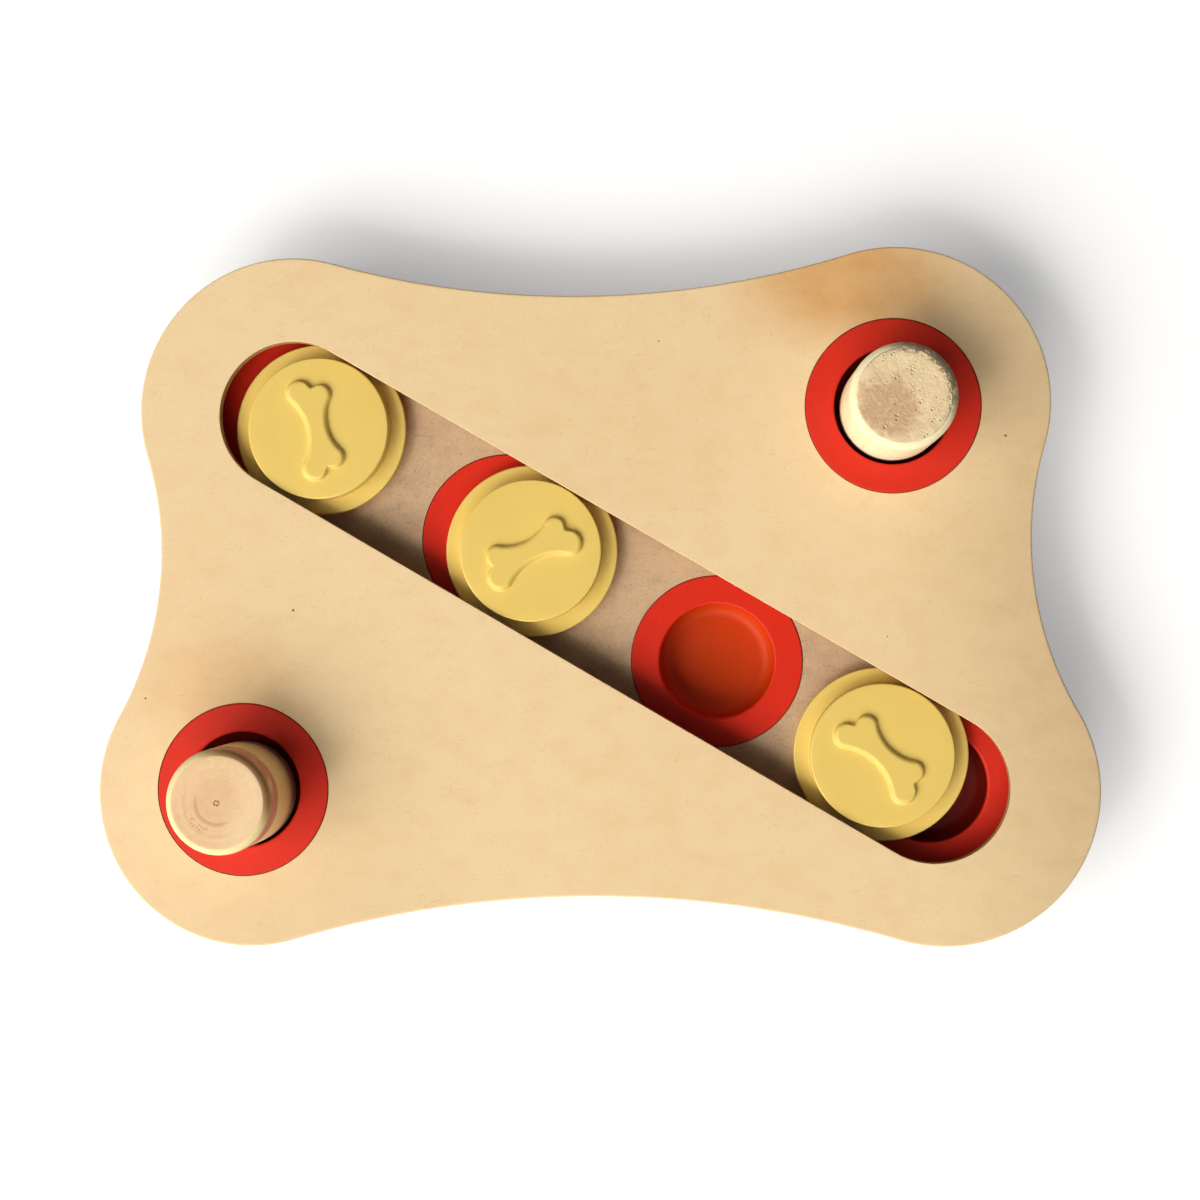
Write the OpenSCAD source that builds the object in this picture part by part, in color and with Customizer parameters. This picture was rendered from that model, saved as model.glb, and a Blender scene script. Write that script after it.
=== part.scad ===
// Dog puzzle feeder: a lobed board of three glued fibreboard sheets, with a slanting slot,
// six red treat cups, three captive sliding discs and two loose wooden pegs.
// The frame stands on the floor at z = 0, with the board's middle on the Z axis.

/* [Board outline] */
// Radius of the four rounded lobes
lobe_r = 53.5; // [48:0.5:58]
// Distance of the two rear lobe centres from the middle line
rear_lobe_x = 104.7; // [98:0.1:112]
// Distance of the two front lobe centres from the middle line
front_lobe_x = 120; // [114:0.1:126]
// Distance of all lobe centres from the line between front and rear
lobe_y = 66.7; // [60:0.1:72]
// Radius of the hollow rear edge
rear_waist_r = 320; // [260:5:400]
// Radius of the hollow front edge
front_waist_r = 374; // [300:2:440]
// Radius of the two hollow side edges
side_waist_r = 118; // [100:1:150]

/* [Board sheets] */
// Thickness of the top sheet, which holds the discs down
top_t = 4; // [3:0.5:6]
// Thickness of the middle sheet, which is the height of the discs' channel
channel_t = 8; // [6:0.5:10]
// Thickness of the bottom sheet, which carries the cups
base_t = 15; // [14:0.5:20]

/* [Slot] */
// Place of the slot's middle, to the right of the board's middle
slot_x = 6.5; // [-5:0.5:15]
// Place of the slot's middle, towards the rear
slot_y = -0.4; // [-5:0.1:5]
// Fall of the slot from rear left to front right, in degrees
slot_angle = 30.6; // [28:0.1:33]
// Length between the centres of the slot's round ends
slot_length = 257; // [250:1:262]
// Width of the slot in the top sheet
slot_w = 51.8; // [51.6:0.2:54]
// Width of the channel under it, which takes the discs' flanges
channel_w = 63; // [62:0.2:66]

/* [Cups] */
// Radius of a cup's flange
cup_flange_r = 30; // [28:0.5:30.5]
// Thickness of the flange
cup_flange_t = 1.6; // [1.2:0.1:2]
// Radius of the mouth
cup_mouth_r = 20.1; // [19.5:0.1:21]
// Height of a whole cup
cup_h = 12; // [10:0.5:13]
// Thickness of its wall and bottom
cup_wall = 1.4; // [1:0.1:2]
// Radius of the rounded lip at the mouth
cup_lip_r = 0.9; // [0.6:0.1:1.4]
// Radius of the rounded corner at the bottom, inside
cup_corner_r = 4.5; // [2:0.1:6]
// Clearance between a cup and its pocket
cup_gap = 0.3; // [0.1:0.05:0.5]

/* [Peg cups] */
// Place of the right cup, from the middle line
right_cup_x = 104.4; // [98:0.1:110]
// Place of the right cup, towards the rear
right_cup_y = 65.4; // [60:0.1:70]
// Place of the left cup, from the middle line
left_cup_x = -122.4; // [-126:0.1:-116]
// Place of the left cup, towards the rear
left_cup_y = -65.6; // [-70:0.1:-60]

/* [Discs] */
// Radius of a disc's flange
disc_flange_r = 30.2; // [29.5:0.1:30.4]
// Thickness of the flange
disc_flange_t = 4.6; // [3.6:0.1:5.6]
// Radius of the boss that stands up in the slot
disc_boss_r = 24.8; // [24:0.1:25]
// Height of flange and boss together
disc_h = 9.9; // [9:0.1:11]
// Radius of the rounded edges
disc_edge_r = 0.6; // [0.5:0.1:1.4]
// Thickness of the moulded face and side
disc_wall = 2.2; // [1.8:0.1:3]
// Height of the bone on the face
bone_h = 1.6; // [0.8:0.1:2]
// Place of disc 1 along the slot
disc_1_at = 9.5; // [0.5:0.1:20]
// Place of disc 2 along the slot
disc_2_at = 95.8; // [86:0.1:120]
// Place of disc 3 along the slot
disc_3_at = 236.6; // [200:0.1:256]
// Turn of the bone on disc 1, in degrees
disc_1_turn = 102; // [0:1:360]
// Turn of the bone on disc 2, in degrees
disc_2_turn = 206; // [0:1:360]
// Turn of the bone on disc 3, in degrees
disc_3_turn = 135; // [0:1:360]

/* [Pegs] */
// Length of a peg
peg_h = 41.5; // [36:0.5:48]
// Radius of a peg near its foot
peg_foot_r = 18.1; // [17.6:0.1:18.3]
// Radius of a peg near its head
peg_head_r = 17.8; // [17:0.1:18.2]
// Radius of the rounded head edge
peg_round_r = 3; // [1.5:0.1:4]

/* [Feet] */
// Height of a rubber foot
foot_h = 4; // [3:0.5:6]
// Radius of a foot where it meets the board
foot_r = 8; // [6:0.5:9]
// Radius of a foot where it meets the floor
foot_sole_r = 7; // [5:0.5:8]
// Distance of a foot from its lobe's centre
foot_reach = 37; // [34:0.5:40]
// Radius of the screw's shank
screw_r = 1.6; // [1.4:0.1:1.8]
// Radius of the screw's head
screw_head_r = 3.4; // [3:0.1:3.8]
// Length of the screw under its head
screw_length = 10; // [8:0.5:11]

/* [Hidden] */
$fn = 96;

// heights of the sheets' faces
base_z = foot_h;
floor_z = base_z + base_t;
lid_z = floor_z + channel_t;
board_top = lid_z + top_t;

// centres of the lobes, in order round the board
lobes = [
    [rear_lobe_x, lobe_y], [-rear_lobe_x, lobe_y],
    [-front_lobe_x, -lobe_y], [front_lobe_x, -lobe_y],
];
waist_radii = [rear_waist_r, side_waist_r, front_waist_r, side_waist_r];
// neighbouring arcs cross by this much, because arcs that only touch don't join
arc_bite = 0.03;
corners = [0:3];
long_arc_fn = 360;

// centre of the hollow edge between lobe i and the next: it just bites into both lobes
function waist_centre(i) =
    let (a = lobes[i],
         b = lobes[(i + 1) % 4],
         half = norm(b - a) / 2,
         rise = sqrt(pow(waist_radii[i] + lobe_r - arc_bite, 2) - half * half),
         along = (b - a) / norm(b - a))
    (a + b) / 2 + rise * [along.y, -along.x];

// well centres stand at equal steps along the slot, the first and last in its round ends
well_count = 4;
well_pitch = slot_length / (well_count - 1);
left_cup = [left_cup_x, left_cup_y];
right_cup = [right_cup_x, right_cup_y];
cup_edge_r = 0.4;
pocket_r = cup_mouth_r + cup_wall + cup_gap;
pocket_spare = 0.5;
pocket_depth = cup_h + pocket_spare;
flange_gap = 0.25;
flange_pocket_r = cup_flange_r + flange_gap;
// cutters run past the faces that they cut by this much
past = 1;

// loose pieces stand a little off the middle of their places
disc_shifts = [0.5, 0.8, 0.7];
left_peg_shift = [-0.8, -1.5];
right_peg_shift = [0.2, -0.5];
// a peg's foot is as round as the cup's corner, so that it stands flat on the cup's bottom
peg_foot_round_r = cup_corner_r;

// sizes of the bone: two long knobs on its outer side, two short ones on its hollow side
long_knob = [13.6, 3.9];
long_knob_r = 4.3;
short_knob = [11.1, -3.6];
short_knob_r = 3.6;
bone_waist = 3.7;
bone_edge = 0.5;

// the disc's lower edge is cut off at a slant, and its hollow has three ribs that cross at a hub
// and a wider step inside the flange
disc_slant = 0.4;
disc_hollow_r = disc_boss_r - disc_wall;
disc_hollow_h = disc_h - disc_wall;
disc_step_r = disc_flange_r - disc_wall;
disc_step_h = disc_flange_t - disc_wall;
disc_rib_t = 1.6;
disc_rib_h = 2;
disc_hub_r = 4;
disc_ribs = 3;

// the screw's head sits up in the foot's recess, and its shank runs into the bottom sheet
screw_hole_gap = 0.1;
screw_hole_r = screw_r + screw_hole_gap;
screw_head_h = 1.8;
screw_recess_gap = 0.6;
screw_recess_r = screw_head_r + screw_recess_gap;
screw_recess_h = 2.4;
screw_tip_h = 2;
screw_tip_r = 0.4;
cross_w = 0.9;
cross_depth = 0.9;
foot_edge_r = 0.8;

mdf = [0.93, 0.82, 0.62];
mdf_core = [0.80, 0.67, 0.50];
red_plastic = [0.87, 0.17, 0.12];
yellow_plastic = [0.88, 0.78, 0.42];
beech = [0.86, 0.74, 0.58];
black_rubber = [0.10, 0.10, 0.10];
zinc = [0.75, 0.76, 0.78];

// points of an arc from angle a0 to a1
function arc(centre, r, a0, a1, steps = 8) =
    [for (i = [0:steps])
        let (a = a0 + (a1 - a0) * i / steps)
        centre + r * [cos(a), sin(a)]];

// point on the board at a place along the slot and a shift across it
function slot_point(along, across = 0) =
    let (s = along - slot_length / 2)
    [slot_x + s * cos(slot_angle) + across * sin(slot_angle),
     slot_y - s * sin(slot_angle) + across * cos(slot_angle)];

// place of a foot on the diagonal of lobe i
function foot_place(i) = lobes[i] + foot_reach / sqrt(2) * [sign(lobes[i].x), sign(lobes[i].y)];

// ---- the board ----

// outline of all three sheets: round lobes joined by hollow arcs
module board_outline() {
    difference() {
        union() {
            polygon([for (i = corners) each [lobes[i], waist_centre(i)]]);
            for (c = lobes) translate(c) circle(lobe_r);
        }
        for (i = corners) translate(waist_centre(i)) circle(waist_radii[i], $fn = long_arc_fn);
    }
}

// a slanting slot of a given width with round ends, cut right through a sheet
module slot_cut(width, z, height) {
    translate([slot_x, slot_y, z]) rotate(-slot_angle) {
        translate([-slot_length / 2, -width / 2, 0]) cube([slot_length, width, height]);
        for (end = [-1, 1])
            translate([end * slot_length / 2, 0, 0]) cylinder(r = width / 2, h = height);
    }
}

// room for one cup whose flange lies flush at height z
module cup_pocket(place, z) {
    translate([place.x, place.y, z - cup_flange_t]) cylinder(r = flange_pocket_r, h = cup_flange_t + past);
    translate([place.x, place.y, z - pocket_depth]) cylinder(r = pocket_r, h = pocket_depth);
}

// the holes for the two peg cups, whose flanges lie flush with the board's top
module peg_cup_pockets() {
    for (place = [left_cup, right_cup]) cup_pocket(place, board_top);
}

module base_plate() {
    color(mdf_core) difference() {
        translate([0, 0, base_z]) linear_extrude(base_t) board_outline();
        for (i = [0:well_count - 1]) cup_pocket(slot_point(i * well_pitch), floor_z);
        peg_cup_pockets();
        for (i = corners)
            translate([foot_place(i).x, foot_place(i).y, base_z - past])
                cylinder(r = screw_hole_r, h = screw_length + past);
    }
}

module channel_plate() {
    color(mdf_core) difference() {
        translate([0, 0, floor_z]) linear_extrude(channel_t) board_outline();
        slot_cut(channel_w, floor_z - past, channel_t + 2 * past);
        peg_cup_pockets();
    }
}

module top_plate() {
    color(mdf) difference() {
        translate([0, 0, lid_z]) linear_extrude(top_t) board_outline();
        slot_cut(slot_w, lid_z - past, top_t + 2 * past);
        peg_cup_pockets();
    }
}

// ---- the cups ----

// a thin moulded cup: a wide flat flange, a rolled lip and a rounded bottom corner
module cup(place, z) {
    outer_r = cup_mouth_r + cup_wall;
    inner_floor = cup_wall - cup_h;
    outer_corner_r = cup_corner_r + cup_wall;
    color(red_plastic) translate([place.x, place.y, z]) rotate_extrude() polygon(concat(
        [[0, -cup_h]],
        arc([outer_r - outer_corner_r, outer_corner_r - cup_h], outer_corner_r, -90, 0),
        [[outer_r, -cup_flange_t], [cup_flange_r, -cup_flange_t]],
        arc([cup_flange_r - cup_edge_r, -cup_edge_r], cup_edge_r, 0, 90, 4),
        arc([cup_mouth_r + cup_lip_r, -cup_lip_r], cup_lip_r, 90, 180),
        arc([cup_mouth_r - cup_corner_r, inner_floor + cup_corner_r], cup_corner_r, 0, -90),
        [[0, inner_floor]]
    ));
}

module well_cup(i) { cup(slot_point((i - 1) * well_pitch), floor_z); }
module peg_cup_left() { cup(left_cup, board_top); }
module peg_cup_right() { cup(right_cup, board_top); }

// ---- the sliding discs ----

// radius of the hollow side that just bites into two knobs of radius r at +-knob.x, |knob.y|
function bone_side_r(knob, r) =
    let (drop = bone_waist - abs(knob.y), reach = r - arc_bite)
    (pow(knob.x, 2) + pow(drop, 2) - reach * reach) / (2 * (reach - drop));

// outline of the bone, drawn in by a given amount
module bone_outline(inset = 0) {
    long_side_r = bone_side_r(long_knob, long_knob_r);
    short_side_r = bone_side_r(short_knob, short_knob_r);
    long_side = [0, bone_waist + long_side_r];
    short_side = [0, -bone_waist - short_side_r];
    difference() {
        union() {
            polygon([
                long_knob, long_side, [-long_knob.x, long_knob.y],
                [-short_knob.x, short_knob.y], short_side, short_knob,
            ]);
            for (side = [-1, 1]) {
                translate([side * long_knob.x, long_knob.y]) circle(long_knob_r - inset);
                translate([side * short_knob.x, short_knob.y]) circle(short_knob_r - inset);
            }
        }
        translate(long_side) circle(long_side_r + inset);
        translate(short_side) circle(short_side_r + inset);
    }
}

// a moulded disc with its bone, open underneath, resting on the slot's floor
module sliding_disc(place, turn) {
    color(yellow_plastic) translate([place.x, place.y, floor_z]) rotate(turn) {
        difference() {
            rotate_extrude() polygon(concat(
                [[0, 0], [disc_flange_r - disc_slant, 0], [disc_flange_r, disc_slant]],
                arc([disc_flange_r - disc_edge_r, disc_flange_t - disc_edge_r], disc_edge_r, 0, 90),
                [[disc_boss_r, disc_flange_t]],
                arc([disc_boss_r - disc_edge_r, disc_h - disc_edge_r], disc_edge_r, 0, 90),
                [[0, disc_h]]
            ));
            translate([0, 0, -past]) cylinder(r = disc_step_r, h = disc_step_h + past);
            difference() {
                translate([0, 0, -past]) cylinder(r = disc_hollow_r, h = disc_hollow_h + past);
                for (i = [0:disc_ribs - 1]) rotate(i * 180 / disc_ribs)
                    translate([-disc_boss_r, -disc_rib_t / 2, disc_hollow_h - disc_rib_h])
                        cube([2 * disc_boss_r, disc_rib_t, disc_rib_h + past]);
                translate([0, 0, disc_hollow_h - disc_rib_h]) cylinder(r = disc_hub_r, h = disc_rib_h + past);
            }
        }
        translate([0, 0, disc_h]) linear_extrude(bone_h - bone_edge) bone_outline();
        translate([0, 0, disc_h + bone_h - bone_edge]) linear_extrude(bone_edge) bone_outline(bone_edge / 2);
    }
}

module sliding_disc_1() { sliding_disc(slot_point(disc_1_at, disc_shifts[0]), disc_1_turn); }
module sliding_disc_2() { sliding_disc(slot_point(disc_2_at, disc_shifts[1]), disc_2_turn); }
module sliding_disc_3() { sliding_disc(slot_point(disc_3_at, disc_shifts[2]), disc_3_turn); }

// ---- the pegs ----

// a turned peg that stands on the bottom of a peg cup
module peg(place) {
    color(beech) translate([place.x, place.y, board_top - cup_h + cup_wall]) rotate_extrude() polygon(concat(
        [[0, 0]],
        arc([peg_foot_r - peg_foot_round_r, peg_foot_round_r], peg_foot_round_r, -90, 0),
        arc([peg_head_r - peg_round_r, peg_h - peg_round_r], peg_round_r, 0, 90),
        [[0, peg_h]]
    ));
}

module peg_left() { peg(left_cup + left_peg_shift); }
module peg_right() { peg(right_cup + right_peg_shift); }

// ---- the feet ----

// a rubber foot with a recess for its screw
module foot(i) {
    color(black_rubber) translate([foot_place(i).x, foot_place(i).y, 0]) difference() {
        rotate_extrude() polygon(concat(
            [[0, 0]],
            arc([foot_sole_r - foot_edge_r, foot_edge_r], foot_edge_r, -90, 0, 4),
            [[foot_r, foot_h - foot_edge_r], [foot_r, foot_h], [0, foot_h]]
        ));
        translate([0, 0, -past]) cylinder(r = screw_hole_r, h = foot_h + 2 * past);
        translate([0, 0, -past]) cylinder(r = screw_recess_r, h = screw_recess_h + past);
    }
}

// a cross-head wood screw, its head up in the foot's recess
module foot_screw(i) {
    head_z = screw_recess_h - screw_head_h;
    translate([foot_place(i).x, foot_place(i).y, head_z]) difference() {
        union() {
            cylinder(r = screw_head_r, h = screw_head_h);
            cylinder(r = screw_r, h = screw_head_h + screw_length - screw_tip_h);
            translate([0, 0, screw_head_h + screw_length - screw_tip_h])
                cylinder(r1 = screw_r, r2 = screw_tip_r, h = screw_tip_h);
        }
        for (turn = [0, 90])
            rotate(turn) translate([-screw_head_r / 2, -cross_w / 2, -past])
                cube([screw_head_r, cross_w, cross_depth + past]);
    }
}

module foot_screws() { color(zinc) for (i = corners) foot_screw(i); }

base_plate();
channel_plate();
top_plate();
well_cup(1);  // well_cup_1
well_cup(2);  // well_cup_2
well_cup(3);  // well_cup_3
well_cup(4);  // well_cup_4
peg_cup_left();
peg_cup_right();
sliding_disc_1();
sliding_disc_2();
sliding_disc_3();
peg_left();
peg_right();
foot(0);  // foot_rear_right
foot(1);  // foot_rear_left
foot(2);  // foot_front_left
foot(3);  // foot_front_right
foot_screws();
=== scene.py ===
"""Dresses a dog puzzle feeder: a lobed fibreboard, treat cups, bone discs, turned pegs and rubber feet.

Every piece is a finer mesh than the solid that it stands for, with eased edges, and wears a procedural
finish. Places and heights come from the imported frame. Lengths are in metres, except that the patterns of a
finish are given in millimetres.
"""
import logging
import math
from collections.abc import Iterator, Mapping, Sequence
from contextlib import contextmanager
from dataclasses import dataclass, field, replace
from enum import Enum
from functools import cached_property, reduce
from typing import Any

import bmesh
import bpy
from mathutils import Matrix, Vector


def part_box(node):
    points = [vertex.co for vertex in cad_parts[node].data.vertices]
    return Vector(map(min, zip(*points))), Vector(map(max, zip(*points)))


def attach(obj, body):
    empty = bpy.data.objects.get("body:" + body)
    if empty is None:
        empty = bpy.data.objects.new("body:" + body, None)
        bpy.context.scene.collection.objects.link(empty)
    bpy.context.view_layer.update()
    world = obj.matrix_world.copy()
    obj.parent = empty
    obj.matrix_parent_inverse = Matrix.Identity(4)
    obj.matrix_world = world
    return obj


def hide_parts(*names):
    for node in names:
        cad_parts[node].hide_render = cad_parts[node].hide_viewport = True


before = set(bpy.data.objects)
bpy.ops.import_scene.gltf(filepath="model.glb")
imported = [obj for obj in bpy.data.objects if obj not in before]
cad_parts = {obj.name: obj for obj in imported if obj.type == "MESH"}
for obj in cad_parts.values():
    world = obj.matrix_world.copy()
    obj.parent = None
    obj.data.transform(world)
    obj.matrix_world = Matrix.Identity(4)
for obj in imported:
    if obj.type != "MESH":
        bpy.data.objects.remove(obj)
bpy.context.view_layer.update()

MM = 0.001
TOUCH = 1e-6
LOCAL = "about_axis"
SMOOTH_UP_TO = math.radians(35)
LOG = logging.getLogger("feeder")

Colour = tuple[float, float, float]
Pair = tuple[float, float]
Triple = tuple[float, float, float]
Profile = list[Pair]
Stations = list[tuple[Vector, Vector]]
Ring = list[bmesh.types.BMVert]

WHITE: Colour = (1.0, 1.0, 1.0)
ORIGIN: Triple = (0.0, 0.0, 0.0)


def screen(red: int, green: int, blue: int) -> Colour:
    """The linear colour that renders as a screen colour, whose shares run from 0 to 255."""
    shares = [part / 255 for part in (red, green, blue)]
    return tuple(s / 12.92 if s <= 0.04045 else ((s + 0.055) / 1.055) ** 2.4 for s in shares)


# ---- node trees ----


class Field:
    """A node's output whose arithmetic adds Math nodes to its tree."""

    def __init__(self, maker: "NodeMaker", socket: bpy.types.NodeSocket) -> None:
        """Wrap one output socket."""
        self.maker = maker
        self.socket = socket

    def _math(self, operation: str, first: Any, second: Any) -> "Field":
        """Add a Math node of two operands and return its result."""
        return self.maker.add("ShaderNodeMath", {"Value": first, "Value_001": second}, operation=operation)

    def __add__(self, other: Any) -> "Field":
        """Sum of the two."""
        return self._math("ADD", self, other)

    __radd__ = __add__

    def __sub__(self, other: Any) -> "Field":
        """This less the other."""
        return self._math("SUBTRACT", self, other)

    def __rsub__(self, other: Any) -> "Field":
        """The other less this."""
        return self._math("SUBTRACT", other, self)

    def __mul__(self, other: Any) -> "Field":
        """Product of the two."""
        return self._math("MULTIPLY", self, other)

    __rmul__ = __mul__

    def __truediv__(self, other: Any) -> "Field":
        """This over the other."""
        return self._math("DIVIDE", self, other)

    def wave(self, function: str) -> "Field":
        """A one-operand Math node of this, such as SINE, COSINE, FLOOR or ABSOLUTE."""
        return self.maker.add("ShaderNodeMath", {"Value": self}, operation=function)

    def larger(self, other: Any) -> "Field":
        """The larger of the two."""
        return self._math("MAXIMUM", self, other)

    def sibling(self, key: str) -> "Field":
        """Another output of the same node, by its identifier."""
        return Field(self.maker, self.maker.find(self.socket.node.outputs, key))


class NodeMaker:
    """Adds nodes to one tree."""

    def __init__(self, tree: bpy.types.NodeTree) -> None:
        """Work on an empty tree."""
        self.tree = tree

    @staticmethod
    def find(sockets: Any, key: str) -> bpy.types.NodeSocket:
        """The socket with that identifier."""
        return next(socket for socket in sockets if socket.identifier == key)

    def add(self, kind: str, inputs: Mapping[str, Any], output: str = "", **settings: Any) -> Field:
        """Add one node.

        Args:
            kind: Blender's name for the node's type.
            inputs: the value or link of each socket, by its identifier.
            output: the identifier of the output that is wanted, or the first if it is empty.
            **settings: the node's own properties, set before its sockets.

        Returns:
            That output.
        """
        node = self.tree.nodes.new(kind)
        for key, value in settings.items():
            setattr(node, key, value)
        for key, value in inputs.items():
            socket = self.find(node.inputs, key)
            if isinstance(value, Field):
                self.tree.links.new(value.socket, socket)
            else:
                socket.default_value = (*value, 1.0) if socket.type == "RGBA" else value
        if not node.outputs:
            return Field(self, None)
        return Field(self, self.find(node.outputs, output) if output else node.outputs[0])


class Surface(NodeMaker):
    """The node tree of one finish."""

    def __init__(self, name: str) -> None:
        """Make an empty material.

        Args:
            name: name of the material.
        """
        self.material = bpy.data.materials.new(name)
        self.material.use_nodes = True
        super().__init__(self.material.node_tree)
        self.tree.nodes.clear()
        self.place = self.add("ShaderNodeTexCoord", {}, "Object")

    def cells(self, vector: Field, size: Triple | float, turn: float = 0.0, origin: Triple = ORIGIN) -> Field:
        """Measure coordinates in cells, so that a pattern on them has that grain.

        Args:
            vector: coordinates in metres.
            size: length, width and depth of a cell in millimetres, or one number for all three.
            turn: angle of the cells about the Z axis.
            origin: place of the first cell, in millimetres.

        Returns:
            The coordinates in cells.
        """
        sizes = size if isinstance(size, tuple) else (size, size, size)
        scale, location = (tuple(length * MM for length in lengths) for lengths in (sizes, origin))
        inputs = {"Vector": vector, "Location": location, "Rotation": (0.0, 0.0, turn), "Scale": scale}
        return self.add("ShaderNodeMapping", inputs, vector_type="TEXTURE")

    def noise(self, vector: Field, size: Triple | float, detail: float = 2.0, roughness: float = 0.5,
              warp: float = 0.0, turn: float = 0.0, origin: Triple = ORIGIN) -> Field:
        """Soft noise of one bump a cell.

        Args:
            vector: coordinates in metres.
            size: size of a cell in millimetres, as in cells.
            detail: number of finer layers.
            roughness: strength of the finer layers.
            warp: how far the noise bends itself.
            turn: angle of the cells about the Z axis.
            origin: place of the first cell, in millimetres.

        Returns:
            The noise, mostly from 0.25 to 0.75.
        """
        return self.add("ShaderNodeTexNoise",
                        {"Vector": self.cells(vector, size, turn, origin), "Scale": 1.0, "Detail": detail,
                         "Roughness": roughness, "Distortion": warp}, "Fac")

    def patches(self, vector: Field, size: Triple | float, low: float, high: float, **grain: Any) -> Field:
        """Patches with soft borders: nought where the noise is under low, and one where it is over high."""
        return self.between(self.noise(vector, size, **grain), low, high)

    def dots(self, vector: Field, size: Triple | float, radius: float, share: float,
             origin: Triple = ORIGIN) -> Field:
        """Soft round dots in some of the cells.

        Args:
            vector: coordinates in metres.
            size: size of a cell in millimetres, as in cells.
            radius: radius of the largest dot, in cells.
            share: share of the cells that hold a dot.
            origin: place of the first cell, in millimetres.

        Returns:
            One at a dot's middle and nought outside it.
        """
        inputs = {"Vector": self.cells(vector, size, 0.0, origin), "Scale": 1.0}
        distance = self.add("ShaderNodeTexVoronoi", inputs, "Distance", feature="F1")
        drawn = self.add("ShaderNodeSeparateColor", {"Color": distance.sibling("Color")}, "Red")
        reach = self.between(drawn, 1.0 - share, 1.0) * radius
        return self.between(reach - distance, 0.0, radius * 0.5)

    def between(self, value: Field, low: float, high: float) -> Field:
        """A soft step from nought at low to one at high."""
        return self.add("ShaderNodeMapRange", {"Value": value, "From Min": low, "From Max": high}, "Result",
                        interpolation_type="SMOOTHSTEP")

    def within(self, value: Field, full: float, limit: float) -> Field:
        """One where a length is up to full, and nought where it is over limit, both in millimetres."""
        return self.between(limit * MM - value, 0.0, (limit - full) * MM)

    def band(self, value: Field, rise: Pair, fall: Pair) -> Field:
        """One over a stretch of a length whose soft ends are given in millimetres."""
        return self.between(value, rise[0] * MM, rise[1] * MM) * self.within(value, *fall)

    def blend(self, factor: Any, first: Any, second: Any) -> Field:
        """Mix two colours."""
        return self.add("ShaderNodeMix", {"Factor_Float": factor, "A_Color": first, "B_Color": second},
                        "Result_Color", data_type="RGBA")

    def bump(self, height: Field) -> Field:
        """A normal bent by a height in metres."""
        return self.add("ShaderNodeBump", {"Height": height, "Distance": 1.0})

    def axes(self, vector: Field) -> tuple[Field, Field, Field]:
        """The three parts of a vector."""
        first = self.add("ShaderNodeSeparateXYZ", {"Vector": vector}, "X")
        return first, first.sibling("Y"), first.sibling("Z")

    def length(self, vector: Field) -> Field:
        """Length of a vector."""
        return self.add("ShaderNodeVectorMath", {"Vector": vector}, "Value", operation="LENGTH")

    def spot(self, vector: Field, middle: Triple, reach: Triple) -> Field:
        """One near the middle of a soft oval patch and nought beyond its reach, both in millimetres."""
        soft_share = 0.8
        return self.between(1.0 - self.length(self.cells(vector, reach, 0.0, middle)), 0.0, soft_share)

    def close(self, **inputs: Any) -> bpy.types.Material:
        """End the tree in a Principled shader.

        Args:
            **inputs: the shader's sockets, with underscores for the spaces in their names.

        Returns:
            The finished material.
        """
        named = {key.replace("_", " "): value for key, value in inputs.items()}
        shader = self.add("ShaderNodeBsdfPrincipled", named)
        self.add("ShaderNodeOutputMaterial", {"Surface": shader})
        return self.material


class AboutAxis:
    """Coordinates of a turned piece, measured from its own axis and foot."""

    def __init__(self, surface: Surface) -> None:
        """Read them from the piece."""
        self.surface = surface
        self.place = surface.add("ShaderNodeAttribute", {}, "Vector", attribute_name=LOCAL)
        self.x, self.y, self.z = surface.axes(self.place)

    @cached_property
    def radius(self) -> Field:
        """Distance from the axis."""
        return self.surface.length(self.surface.add("ShaderNodeCombineXYZ", {"X": self.x, "Y": self.y}))

    def facing(self, way: Pair) -> Field:
        """Cosine of the angle between a point's direction from the axis and a way across the piece."""
        return (self.x * way[0] + self.y * way[1]) / self.radius.larger(0.1 * MM)


class Port(Enum):
    """Kinds of input that a geometry tree takes."""

    WHOLE = "NodeSocketInt"
    NUMBER = "NodeSocketFloat"
    VECTOR = "NodeSocketVector"
    FINISH = "NodeSocketMaterial"
    PIECE = "NodeSocketObject"


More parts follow.
